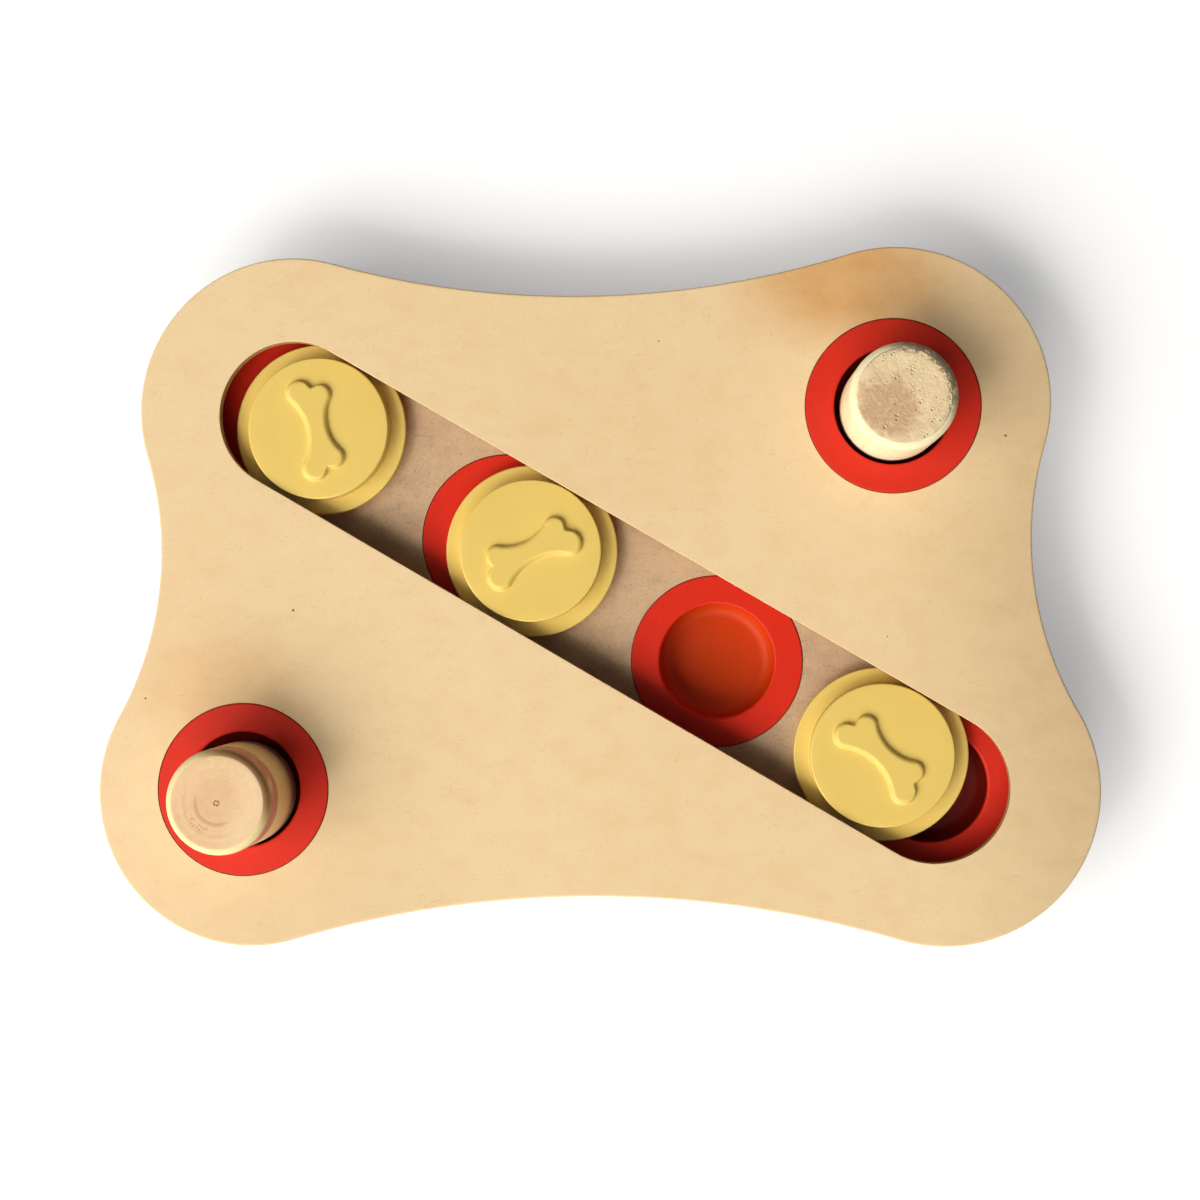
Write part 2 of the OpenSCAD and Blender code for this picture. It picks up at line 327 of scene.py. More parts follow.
class ShapeTree(NodeMaker):
    """A geometry tree with named inputs, whose result is kept as a plain mesh."""

    def __init__(self, name: str, **ports: Port) -> None:
        """Make the tree's inputs and output.

        Args:
            name: name of the tree.
            **ports: kind of each input, by its name.
        """
        super().__init__(bpy.data.node_groups.new(name, "GeometryNodeTree"))
        face = self.tree.interface
        carrier = face.new_socket("Geometry", in_out="INPUT", socket_type="NodeSocketGeometry")
        self.ports = {
            port: face.new_socket(port, in_out="INPUT", socket_type=kind.value).identifier
            for port, kind in ports.items()
        }
        face.new_socket("Geometry", in_out="OUTPUT", socket_type="NodeSocketGeometry")
        self.carrier = self.add("NodeGroupInput", {}, carrier.identifier)
        self.given = {port: self.carrier.sibling(key) for port, key in self.ports.items()}

    def deliver(self, geometry: Field) -> None:
        """End the tree: instances are made real and the finish is put on.

        Args:
            geometry: what the tree has made.
        """
        real = self.add("GeometryNodeRealizeInstances", {"Geometry": geometry})
        dressed = self.add("GeometryNodeSetMaterial", {"Geometry": real, "Material": self.given["Finish"]})
        sink = self.tree.nodes.new("NodeGroupOutput")
        self.tree.links.new(dressed.socket, sink.inputs[0])

    def grow(self, name: str, carrier: bpy.types.Mesh, **values: Any) -> bpy.types.Object:
        """Run the tree on a mesh and keep what it makes.

        Args:
            name: name of the new piece.
            carrier: the profile or the points that the tree starts from.
            **values: a value for each of the tree's ports.

        Returns:
            A new object with a plain mesh and no modifier.
        """
        piece = set_out(name, carrier)
        modifier = piece.modifiers.new("shape", "NODES")
        modifier.node_group = self.tree
        for port, value in values.items():
            modifier[self.ports[port]] = value
        graph = bpy.context.evaluated_depsgraph_get()
        made = bpy.data.meshes.new_from_object(piece.evaluated_get(graph), preserve_all_data_layers=True,
                                               depsgraph=graph)
        piece.modifiers.clear()
        piece.data = made
        made.name = name
        face_outwards(made)
        return piece


class TurnedTree(ShapeTree):
    """Turns a profile of radius and height about an upright axis."""

    def __init__(self) -> None:
        """Build the tree."""
        super().__init__("turned_solid", Segments=Port.WHOLE, Place=Port.VECTOR, Turn=Port.NUMBER,
                         Finish=Port.FINISH)
        segments, turn = self.given["Segments"], self.given["Turn"]
        at_points = {"data_type": "FLOAT_VECTOR", "domain": "POINT"}
        stations = self.add("GeometryNodeAttributeDomainSize", {"Geometry": self.carrier}, component="MESH")
        columns = segments + 1
        grid = self.add("GeometryNodeMeshGrid", {"Vertices X": stations, "Vertices Y": columns})
        index = self.add("GeometryNodeInputIndex", {})
        station = ((index + 0.5) / columns).wave("FLOOR")
        angle = (index - station * columns) / segments * math.tau
        where = self.add("GeometryNodeInputPosition", {})
        sample = self.add("GeometryNodeSampleIndex",
                          {"Geometry": self.carrier, "Value": where, "Index": station}, **at_points)
        radius = self.add("ShaderNodeSeparateXYZ", {"Vector": sample}, "X")
        height = radius.sibling("Z")
        own, turned = (self._spot(radius, way, height) for way in (angle, angle + turn))
        marked = self.add("GeometryNodeStoreNamedAttribute", {"Geometry": grid, "Name": LOCAL, "Value": own},
                          **at_points)
        placed = self.add("ShaderNodeVectorMath", {"Vector": turned, "Vector_001": self.given["Place"]},
                          operation="ADD")
        bent = self.add("GeometryNodeSetPosition", {"Geometry": marked, "Position": placed})
        self.deliver(self.add("GeometryNodeMergeByDistance", {"Geometry": bent, "Distance": TOUCH}))

    def _spot(self, radius: Field, angle: Field, height: Field) -> Field:
        """A point at a radius, an angle and a height."""
        return self.add("ShaderNodeCombineXYZ",
                        {"X": radius * angle.wave("COSINE"), "Y": radius * angle.wave("SINE"), "Z": height})


class RepeatTree(ShapeTree):
    """Sets a copy of a piece on every point, each turned at random."""

    def __init__(self) -> None:
        """Build the tree."""
        super().__init__("repeated_piece", Piece=Port.PIECE, Spin=Port.NUMBER, Seed=Port.WHOLE,
                         Finish=Port.FINISH)
        pattern = self.add("GeometryNodeObjectInfo", {"Object": self.given["Piece"]}, "Geometry")
        spin = self.add("FunctionNodeRandomValue",
                        {"Min_001": 0.0, "Max_001": self.given["Spin"], "Seed": self.given["Seed"]},
                        "Value_001", data_type="FLOAT")
        turn = self.add("ShaderNodeCombineXYZ", {"Z": spin})
        self.deliver(self.add("GeometryNodeInstanceOnPoints",
                              {"Points": self.carrier, "Instance": pattern, "Rotation": turn}))


# ---- places and meshes ----


def axis_of(node: str) -> tuple[Vector, Vector]:
    """Find the upright axis through the middle of a node.

    Args:
        node: the node's name.

    Returns:
        The axis's lower and upper end.
    """
    low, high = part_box(node)
    x, y, _ = (low + high) / 2
    return Vector((x, y, low.z)), Vector((x, y, high.z))


def heights(node: str) -> Pair:
    """Heights of a node's lower and upper faces."""
    low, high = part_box(node)
    return low.z, high.z


def set_out(name: str, data: bpy.types.ID) -> bpy.types.Object:
    """Put a mesh, a lamp or a camera into the scene.

    Args:
        name: name of the new object.
        data: what it holds.

    Returns:
        The object.
    """
    thing = bpy.data.objects.new(name, data)
    bpy.context.scene.collection.objects.link(thing)
    return thing


@contextmanager
def editing(mesh: bpy.types.Mesh) -> Iterator[bmesh.types.BMesh]:
    """Open a mesh, and write it back when the work on it is done.

    Args:
        mesh: the mesh.

    Yields:
        Its points and faces, ready for edits.
    """
    shape = bmesh.new()
    shape.from_mesh(mesh)
    yield shape
    shape.to_mesh(mesh)
    shape.free()


def face_outwards(mesh: bpy.types.Mesh) -> None:
    """Merge doubles, turn every closed shell's faces outwards and keep only its real creases sharp.

    Args:
        mesh: the mesh that is mended.
    """
    with editing(mesh) as shape:
        bmesh.ops.remove_doubles(shape, verts=shape.verts, dist=TOUCH)
        bmesh.ops.recalc_face_normals(shape, faces=shape.faces)
    mesh.shade_smooth()
    mesh.set_sharp_from_angle(angle=SMOOTH_UP_TO)


def line_mesh(name: str, points: Sequence[Sequence[float]]) -> bpy.types.Mesh:
    """Make a mesh of loose points, which carries a profile or places into a geometry tree.

    Args:
        name: name of the mesh.
        points: the points.

    Returns:
        The mesh.
    """
    mesh = bpy.data.meshes.new(name)
    mesh.from_pydata([tuple(p) for p in points], [], [])
    return mesh


def ray_at(angle: float) -> Vector:
    """A direction in the plan, from its angle."""
    return Vector((math.cos(angle), math.sin(angle)))


def arc(centre: Pair, radius: float, start: float, end: float, steps: int) -> Profile:
    """Points of an arc.

    Args:
        centre: centre of the arc.
        radius: radius of the arc.
        start: first angle, in degrees.
        end: last angle, in degrees.
        steps: number of steps between the two.

    Returns:
        The points in order, both ends among them.
    """
    angles = [math.radians(start + (end - start) * i / steps) for i in range(steps + 1)]
    return [(centre[0] + radius * math.cos(a), centre[1] + radius * math.sin(a)) for a in angles]


def guarded(profile: Profile, guard: float = 0.2 * MM) -> Profile:
    """Add a point close to both ends of each long stretch, so that flat faces shade flat.

    Args:
        profile: the profile's points.
        guard: distance of the added points from the ends.

    Returns:
        The profile with the points added.
    """
    kept = [profile[0]]
    for first, last in zip(profile, profile[1:]):
        span = math.dist(first, last)
        if span > 4 * guard:
            for share in (guard / span, 1 - guard / span):
                kept.append(tuple(a + (b - a) * share for a, b in zip(first, last)))
        kept.append(last)
    return kept


def circle(centre: Vector, radius: float, count: int) -> Stations:
    """Stations round a hole, whose material lies outside it."""
    rays = [ray_at(math.tau * i / count) for i in range(count)]
    return [(centre + ray * radius, -ray) for ray in rays]


def sheer(low: float, high: float) -> Profile:
    """Section of an upright wall with sharp corners."""
    return [(0.0, high), (0.0, low)]


def eased(low: float, high: float, top: float, bottom: float) -> Profile:
    """Section of a wall with rounded corners.

    Args:
        low: height of the lower face.
        high: height of the upper face.
        top: radius of the upper corner.
        bottom: radius of the lower corner.

    Returns:
        The section, from the top down, with a guard line on both faces.
    """
    steps, guard = 5, 0.3 * MM
    upper = arc((top, high - top), top, 90, 180, steps)
    lower = arc((bottom, low + bottom), bottom, 180, 270, steps)
    return [(top + guard, high), *upper, *lower, (bottom + guard, low)]


def ring_edges(shape: bmesh.types.BMesh, ring: Ring) -> list[bmesh.types.BMEdge]:
    """The edges of a closed ring of points."""
    pairs = zip(ring, [*ring[1:], ring[0]])
    return [shape.edges.get(pair) or shape.edges.new(pair) for pair in pairs]


def join_rings(shape: bmesh.types.BMesh, rings: Sequence[Ring], slot: int = 0) -> None:
    """Wall the space between each closed ring of points and the next.

    Args:
        shape: the mesh that is being built.
        rings: rings of as many points each.
        slot: the wall's material slot.
    """
    count = len(rings[0])
    for first, second in zip(rings, rings[1:]):
        for i in range(count):
            j = (i + 1) % count
            shape.faces.new((first[i], first[j], second[j], second[i])).material_index = slot


class Opening(Enum):
    """How a loop's wall meets the faces of a flat solid."""

    THROUGH = "through"
    FROM_ABOVE = "blind, open above"
    FROM_BELOW = "blind, open below"


@dataclass
class Loop:
    """A closed line round a flat solid's rim or hole, with the section of the wall that follows it.

    Each station is a point and the direction away from the material there. The section runs from the top
    down, as distances into the material and heights.
    """

    stations: Stations
    section: Profile
    opening: Opening = Opening.THROUGH
    wall_slot: int = 1

    def rings(self, shape: bmesh.types.BMesh) -> list[Ring]:
        """Add the wall to a mesh.

        Args:
            shape: the mesh that is being built.

        Returns:
            The wall's rings of points, from the top down.
        """
        rings = [
            [shape.verts.new((*(point - away * inset), height)) for point, away in self.stations]
            for inset, height in self.section
        ]
        join_rings(shape, rings, self.wall_slot)
        return rings


def flat_solid(name: str, loops: Sequence[Loop], flat_from: float = 0.35) -> bpy.types.Mesh:
    """A closed solid between two flat faces, with any number of holes and pockets.

    Args:
        name: name of the mesh.
        loops: the rim and the holes.
        flat_from: share of its normal that is upright in a face that counts as flat.

    Returns:
        The mesh, with its flat faces in material slot 0 and each wall in its loop's own slot.
    """
    mesh = bpy.data.meshes.new(name)
    with editing(mesh) as shape:
        upper_edges, lower_edges = [], []
        for loop in loops:
            rings = loop.rings(shape)
            for ring, closed, edges in ((rings[0], Opening.FROM_BELOW, upper_edges),
                                        (rings[-1], Opening.FROM_ABOVE, lower_edges)):
                if loop.opening is closed:
                    shape.faces.new(ring)
                else:
                    edges.extend(ring_edges(shape, ring))
        for edges in (upper_edges, lower_edges):
            bmesh.ops.triangle_fill(shape, use_beauty=True, use_dissolve=False, edges=edges)
        bmesh.ops.recalc_face_normals(shape, faces=shape.faces)
        for polygon in shape.faces:
            if abs(polygon.normal.z) > flat_from:
                polygon.material_index = 0
    face_outwards(mesh)
    return mesh


# ---- finishes ----


@dataclass(frozen=True)
class ShadePatch:
    """A soft oval patch of painted shade in its own colour, placed and sized in millimetres."""

    middle: Triple
    reach: Triple
    strength: float
    colour: Colour


@dataclass(frozen=True)
class FibreboardFinish:
    """Sanded fibreboard: a pale ground with short fibres, dark specks and soft patches of painted shade."""

    name: str
    ground: Colour
    warm: Colour
    dark_fibre: Colour
    pale_fibre: Colour
    speck: Colour
    nap: float
    mottle: float
    fibres: float
    roughness: float
    shade_patches: tuple[ShadePatch, ...] = ()

    def build(self) -> bpy.types.Material:
        """Build the finish's node tree.

        Returns:
            The finished material.
        """
        s = Surface(self.name)
        clouds = s.patches(s.place, (70, 50, 60), 0.4, 0.75, detail=3.0)
        mottle = s.patches(s.place, (12, 8, 10), 0.38, 0.75, detail=5.0, roughness=0.62)
        grain = s.noise(s.place, 0.8, detail=3.0, roughness=0.6)
        colour = s.blend(clouds * 0.25 + mottle * self.mottle, self.ground, self.warm)
        # Painted shade: each patch blends the colour towards its own darker tone.
        for shade_patch in self.shade_patches:
            patch_mask = s.spot(s.place, shade_patch.middle, shade_patch.reach) * (0.85 + 0.2 * mottle) * shade_patch.strength
            colour = s.blend(patch_mask, colour, shade_patch.colour)
        colour = s.blend(s.between(grain, 0.45, 0.8) * self.nap, colour, self.dark_fibre)
        strokes = [
            s.patches(s.place, (length, 0.45, 1.0), 0.72, 0.8, detail=0.0, turn=turn, origin=(start,) * 3)
            for turn, length, start in ((0.15, 4.5, 0.0), (1.25, 3.0, 310.0), (2.3, 2.2, 740.0))
        ]
        patchy = s.patches(s.place, 11, 0.45, 0.6, detail=1.0)
        dark, pale = strokes[0].larger(strokes[1]) * patchy, strokes[2]
        colour = s.blend(dark * self.fibres, colour, self.dark_fibre)
        colour = s.blend(pale * self.fibres, colour, self.pale_fibre)
        specks = s.dots(s.place, 13, radius=0.045, share=0.4)
        crumbs = s.dots(s.place, 4.5, radius=0.07, share=0.1)
        colour = s.blend(specks * 0.85 + crumbs * 0.4, colour, self.speck)
        rough = self.roughness + 0.14 * (grain - 0.5) - 0.05 * pale
        relief = grain * (0.03 * MM) + (pale - dark) * (0.03 * MM) - specks * (0.12 * MM)
        return s.close(Base_Color=colour, Roughness=rough, Normal=s.bump(relief), Specular_IOR_Level=0.15)


@dataclass(frozen=True)
class CutEdgeFinish:
    """The routed edge of fibreboard: darker, in thin pressed layers with a loose core."""

    name: str
    ground: Colour
    layer: Colour
    scorch: Colour

    def build(self) -> bpy.types.Material:
        """Build the finish's node tree.

        Returns:
            The finished material.
        """
        s = Surface(self.name)
        layers = s.noise(s.place, (20, 20, 0.45), detail=3.0, roughness=0.6)
        fluff = s.noise(s.place, (1.4, 1.4, 0.6), detail=3.0, roughness=0.7)
        burns = s.patches(s.place, (40, 40, 20), 0.52, 0.74)
        colour = s.blend(s.between(layers, 0.35, 0.7), self.ground, self.layer)
        colour = s.blend(s.between(fluff, 0.5, 0.8) * 0.5, colour, self.scorch)
        colour = s.blend(burns * 0.4, colour, self.scorch)
        relief = layers * (0.12 * MM) + fluff * (0.1 * MM)
        return s.close(Base_Color=colour, Roughness=0.78 + 0.12 * (fluff - 0.5), Normal=s.bump(relief),
                       Specular_IOR_Level=0.1)


@dataclass(frozen=True)
class MouldedFinish:
    """Injection-moulded plastic: a faint skin, flow marks, fine scuffs from claws and teeth, and painted
    shade in its inside colour below the flange.
    """

    name: str
    colour: Colour
    deep: Colour
    scuffed: Colour
    inside: Colour
    roughness: float
    scuffs: float
    gloss: float
    glow: float

    def build(self) -> bpy.types.Material:
        """Build the finish's node tree.

        Returns:
            The finished material.
        """
        s = Surface(self.name)
        at = AboutAxis(s)
        flow = s.noise(at.place, (20, 16, 10), warp=0.6)
        skin = s.noise(at.place, 0.9)
        colour = s.blend(s.between(flow, 0.3, 0.75) * 0.35, self.colour, self.deep)
        # Painted shade: below the flange's top the colour turns to the inside colour, warm orange in the
        # wells and dark red in the corner cups and the last well.
        inside_shade_mask = s.between(at.z * -1.0, 0.2 * MM, 2.5 * MM)
        colour = s.blend(inside_shade_mask, colour, self.inside)
        scratches = reduce(Field.larger, (
            s.patches(at.place, (9, 0.22, 0.9), 0.7, 0.8, detail=0.0, turn=turn, origin=(start, start, 0.0))
            for turn, start in ((0.5, 0.0), (1.7, 400.0), (2.7, 800.0))
        ))
        patch_mask = scratches * s.patches(s.place, 12, 0.45, 0.7) * self.scuffs
        dust = s.patches(s.place, 2.5, 0.5, 0.9, detail=4.0, roughness=0.7)
        colour = s.blend(patch_mask * 0.4 + dust * 0.06, colour, self.scuffed)
        rough = self.roughness + 0.12 * patch_mask + 0.1 * (flow - 0.5) + 0.08 * dust
        relief = skin * (0.006 * MM) - patch_mask * (0.02 * MM)
        return s.close(Base_Color=colour, Roughness=rough, Normal=s.bump(relief),
                       Specular_IOR_Level=self.gloss, Subsurface_Weight=self.glow,
                       Subsurface_Radius=(1.0, 0.7, 0.3), Subsurface_Scale=1.5 * MM)


class PegEnd(Enum):
    """How the end of a peg came off the lathe."""

    TURNED = "faced with a tool that left rings and chatter"
    CRUMBLED = "parted off roughly, with torn and pitted grain"


@dataclass(frozen=True)
class TurnedWoodFinish:
    """A turned peg: smooth streaked sides with a pink band, a shoulder darkened on its shaded side as painted
    shade with some dirt, and an end that shows how it was cut.

    The bounds of its marks are in millimetres, and its ways are directions across the peg.
    """

    name: str
    end: PegEnd
    side: Colour
    face: Colour
    streak: Colour
    heart: Colour
    pore: Colour
    pink_band: Colour
    pink_band_share: float
    shade_and_dirt: Colour
    shade_and_dirt_drop: float
    shade_and_dirt_gaps: float
    bare: Colour
    height: float
    face_r: float = 14.8 * MM
    shaded_way: Pair = (0.75, 0.66)
    pink_band_start: Pair = (28.5, 31.5)
    pink_band_end: Pair = (38.8, 40.2)
    tool_way: Pair = (-0.6, -0.8)
    ring_pitch: float = 1.3 * MM
    ring_end: Pair = (10.5, 13.5)
    chatter_start: Pair = (8.6, 9.4)
    chatter_end: Pair = (10.4, 11.6)
    hub_start: Pair = (0.4, 0.6)
    hub_end: Pair = (0.9, 1.2)

    def turned_end(self, s: Surface, at: AboutAxis, colour: Field) -> tuple[Field, Field]:
        """Draw the tool's rings, its chatter and the mark of the lathe's centre.

        Args:
            s: the finish's tree.
            at: coordinates about the peg's axis.
            colour: colour of the bare end.

        Returns:
            The colour with the marks on it, and their relief in metres.
        """
        angle = s.add("ShaderNodeMath", {"Value": at.y, "Value_001": at.x}, operation="ARCTAN2")
        toward = at.facing(self.tool_way)
        wobbly = at.radius + 0.6 * MM * s.noise(at.place, (8, 8, 10), detail=1.0)
        torn = s.noise(at.place, (2.2, 2.2, 4))
        fuzz = s.noise(at.place, 0.9, detail=3.0, roughness=0.65)
        rings = s.between((wobbly * (math.tau / self.ring_pitch)).wave("SINE"), 0.0, 1.0)
        rings = rings * s.between(toward, 0.1, 0.95) * s.within(at.radius, *self.ring_end)
        arcs = reduce(Field.larger, (
            s.between(half - (wobbly - line_r).wave("ABSOLUTE"), 0.0, half) * strength
            for line_r, half, strength in ((7.4 * MM, 1.1 * MM, 1.0), (11.5 * MM, 0.9 * MM, 0.45))
        ))
        arcs = arcs * s.between(toward + 0.35 * (torn - 0.5), 0.0, 0.8)
        chatter = s.between((angle * 58.0 + at.radius * 700.0).wave("SINE"), 0.1, 0.9)
        chatter = chatter * s.band(at.radius, self.chatter_start, self.chatter_end)
        chatter = chatter * s.between(toward, 0.7, 0.9) * s.between(torn, 0.4, 0.6)
        hub = s.band(at.radius, self.hub_start, self.hub_end)
        hub = hub * s.between((angle * 2.0 + 0.6).wave("SINE").wave("ABSOLUTE"), 0.1, 0.5)
        dim = s.between(at.radius, self.face_r - 2.4 * MM, self.face_r - 0.6 * MM)
        dim = dim * s.between(toward, 0.2, 0.9)
        colour = s.blend(s.within(at.radius, 4.5, 12.5) * 0.22, colour, self.heart)
        grainy = s.between(torn, 0.35, 0.7) * 0.14 + s.between(fuzz, 0.5, 0.7) * 0.14
        colour = s.blend(grainy, colour, self.heart)
        colour = s.blend(s.between(at.x * 0.9 - at.y * 0.3, 0.0, 10 * MM) * 0.4, colour, self.bare)
        colour = s.blend(arcs * 0.6 + rings * 0.12 + dim * 0.2, colour, self.heart)
        colour = s.blend(chatter * 0.32 + hub * 0.6, colour, self.pore)
        relief = fuzz * (0.05 * MM) - arcs * (0.06 * MM) - rings * (0.01 * MM) - chatter * (0.1 * MM)
        return colour, relief - hub * (0.2 * MM)

    def crumbled_end(self, s: Surface, at: AboutAxis, colour: Field) -> tuple[Field, Field]:
        """Draw torn grain: a brown heart, crumbs, pitted spots with painted shadow beside pale flecks with
        painted highlight, and a chipped rim with painted shade on its shaded side.

        Args:
            s: the finish's tree.
            at: coordinates about the peg's axis.
            colour: colour of the bare end.

        Returns:
            The colour with the marks on it, and their relief in metres.
        """
        ragged = s.noise(at.place, (4.5, 4.5, 10), detail=5.0, roughness=0.65, warp=0.5)
        crumbs = s.noise(at.place, 1.2, roughness=0.55)
        heart = s.spot(at.place, (-5.2, -3.4, self.height / MM), (14.5, 13.5, 50))
        heart = s.between(heart + 1.1 * (ragged - 0.5), 0.1, 0.7)
        gathered = s.patches(at.place, (5.5, 5.5, 20), 0.42, 0.55)
        # Painted highlight and shadow: pale flecks sit just beside dark pitted spots, as lit crumbs and their
        # shadows, over real pitted and pale grain.
        pits_and_painted_shadow, flecks_and_painted_highlight = (s.dots(at.place, 1.3, radius=0.42, share=0.5, origin=origin) * gathered
                        for origin in (ORIGIN, (0.5, 0.4, 0.0)))
        holes = s.dots(at.place, 3.6, radius=0.14, share=0.45)
        # Painted shade with chipping: the rim on the side turned from the lamps is chipped and darkened.
        rim = s.between(at.radius, self.face_r - 1.4 * MM, self.face_r + 0.6 * MM)
        rim = rim * s.between(at.facing(self.shaded_way), 0.1, 0.8)
        shaded_rim_chips = rim * s.patches(at.place, 1.6, 0.4, 0.6, detail=3.0)
        colour = s.blend(s.between(ragged, 0.38, 0.62) * 0.2, colour, self.heart)
        colour = s.blend(heart * 0.62, colour, self.heart)
        colour = s.blend(s.between(crumbs, 0.52, 0.68) * 0.3, colour, self.side)
        colour = s.blend(pits_and_painted_shadow * 0.45 + holes * 0.7 + shaded_rim_chips * 0.75, colour, self.pore)
        colour = s.blend(flecks_and_painted_highlight * 0.75, colour, self.side)
        relief = crumbs * (0.12 * MM) + ragged * (0.45 * MM) + (flecks_and_painted_highlight - pits_and_painted_shadow - holes) * (0.2 * MM)
        return colour, relief - shaded_rim_chips * (0.25 * MM)

    def build(self) -> bpy.types.Material:
        """Build the finish's node tree.

        Returns:
            The finished material.
        """
        s = Surface(self.name)
        at = AboutAxis(s)
        streak = s.noise(at.place, (1.2, 1.2, 20), detail=3.0, roughness=0.6)
        broad = s.noise(at.place, (9, 9, 60))
        pores = s.dots(at.place, (1.1, 1.1, 6), radius=0.24, share=0.3)
        streaky = s.between(streak, 0.42, 0.72) * 0.35 + s.between(broad, 0.45, 0.7) * 0.3
        side = s.blend(streaky, self.side, self.streak)
        side = s.blend(pores * 0.3, side, self.pore)
        # A pink band round the side, in soft patches.
        pink_band_mask = s.band(at.z, self.pink_band_start, self.pink_band_end)
        pink_band_mask = pink_band_mask * s.patches(at.place, (10, 10, 6), 0.2, 0.55, detail=3.0)
        side = s.blend(pink_band_mask * self.pink_band_share, side, self.pink_band)
        # Painted shade with some dirt: the shoulder on the side turned from the lamps is blended towards a
        # dark brown.
        shoulder = self.height - self.shade_and_dirt_drop
        shade_and_dirt_mask = s.between(at.z, shoulder, shoulder + 1.2 * MM)
        shade_and_dirt_mask = shade_and_dirt_mask * s.between(at.facing(self.shaded_way), 0.2, 0.8)
        shade_and_dirt_mask = shade_and_dirt_mask * s.patches(at.place, 3.5, self.shade_and_dirt_gaps, self.shade_and_dirt_gaps + 0.3, detail=4.0,
                                  roughness=0.65)
        side = s.blend(shade_and_dirt_mask * 0.85, side, self.shade_and_dirt)
        marks = self.turned_end if self.end is PegEnd.TURNED else self.crumbled_end
        face, carved = marks(s, at, s.blend(s.between(broad, 0.4, 0.7) * 0.3, self.face, self.streak))
        on_face = s.between(at.z, self.height - 0.16 * MM, self.height - 0.05 * MM)
        rough = 0.48 + 0.1 * (streak - 0.5) + 0.2 * on_face
        relief = streak * (0.05 * MM) * (1.0 - on_face) + carved * on_face - pores * (0.03 * MM)
        return s.close(Base_Color=s.blend(on_face, side, face), Roughness=rough, Normal=s.bump(relief),
                       Specular_IOR_Level=0.05)


@dataclass(frozen=True)
class RubberFinish:
    """Moulded black rubber, dusty where it meets the floor."""

    name: str
    colour: Colour
    dust: Colour

    def build(self) -> bpy.types.Material:
        """Build the finish's node tree.

        Returns:
            The finished material.
        """
        s = Surface(self.name)
        grain = s.noise(s.place, 0.5, detail=3.0, roughness=0.6)
        dusty = s.patches(s.place, (4, 4, 2), 0.45, 0.8, detail=4.0, roughness=0.7)
        sole = s.within(s.axes(s.place)[2], 0.0, 1.5)
        colour = s.blend(dusty * (0.25 + 0.5 * sole), self.colour, self.dust)
        return s.close(Base_Color=colour, Roughness=0.72 + 0.2 * dusty, Normal=s.bump(grain * (0.04 * MM)))


@dataclass(frozen=True)
class ZincFinish:
    """Zinc-plated steel, with a dull bloom and marks of wear from a driver."""

    name: str
    bright: Colour
    bloom: Colour

    def build(self) -> bpy.types.Material:
        """Build the finish's node tree.

        Returns:
            The finished material.
        """
        s = Surface(self.name)
        spangle = s.noise(s.place, 1.2, detail=3.0)
        dull = s.patches(s.place, 3, 0.4, 0.7, detail=3.0)
        brushed = s.noise(s.place, (4, 0.1, 1), detail=1.0, turn=0.6)
        colour = s.blend(dull, self.bright, self.bloom)
        rough = 0.3 + 0.25 * dull + 0.1 * (spangle - 0.5)
        relief = brushed * (0.005 * MM) + spangle * (0.01 * MM)
        return s.close(Base_Color=colour, Roughness=rough, Metallic=1.0, Normal=s.bump(relief))


@dataclass(frozen=True)
class Finishes:
    """All finishes of the feeder, made once."""

    face: bpy.types.Material
    floor: bpy.types.Material
    cut: bpy.types.Material
    routed: bpy.types.Material
    red: bpy.types.Material
    red_shaded_inside: bpy.types.Material
    yellow: bpy.types.Material
    ringed_peg: bpy.types.Material
    pitted_peg: bpy.types.Material
    rubber: bpy.types.Material
    zinc: bpy.types.Material


PEG_HEIGHT = 41.5 * MM


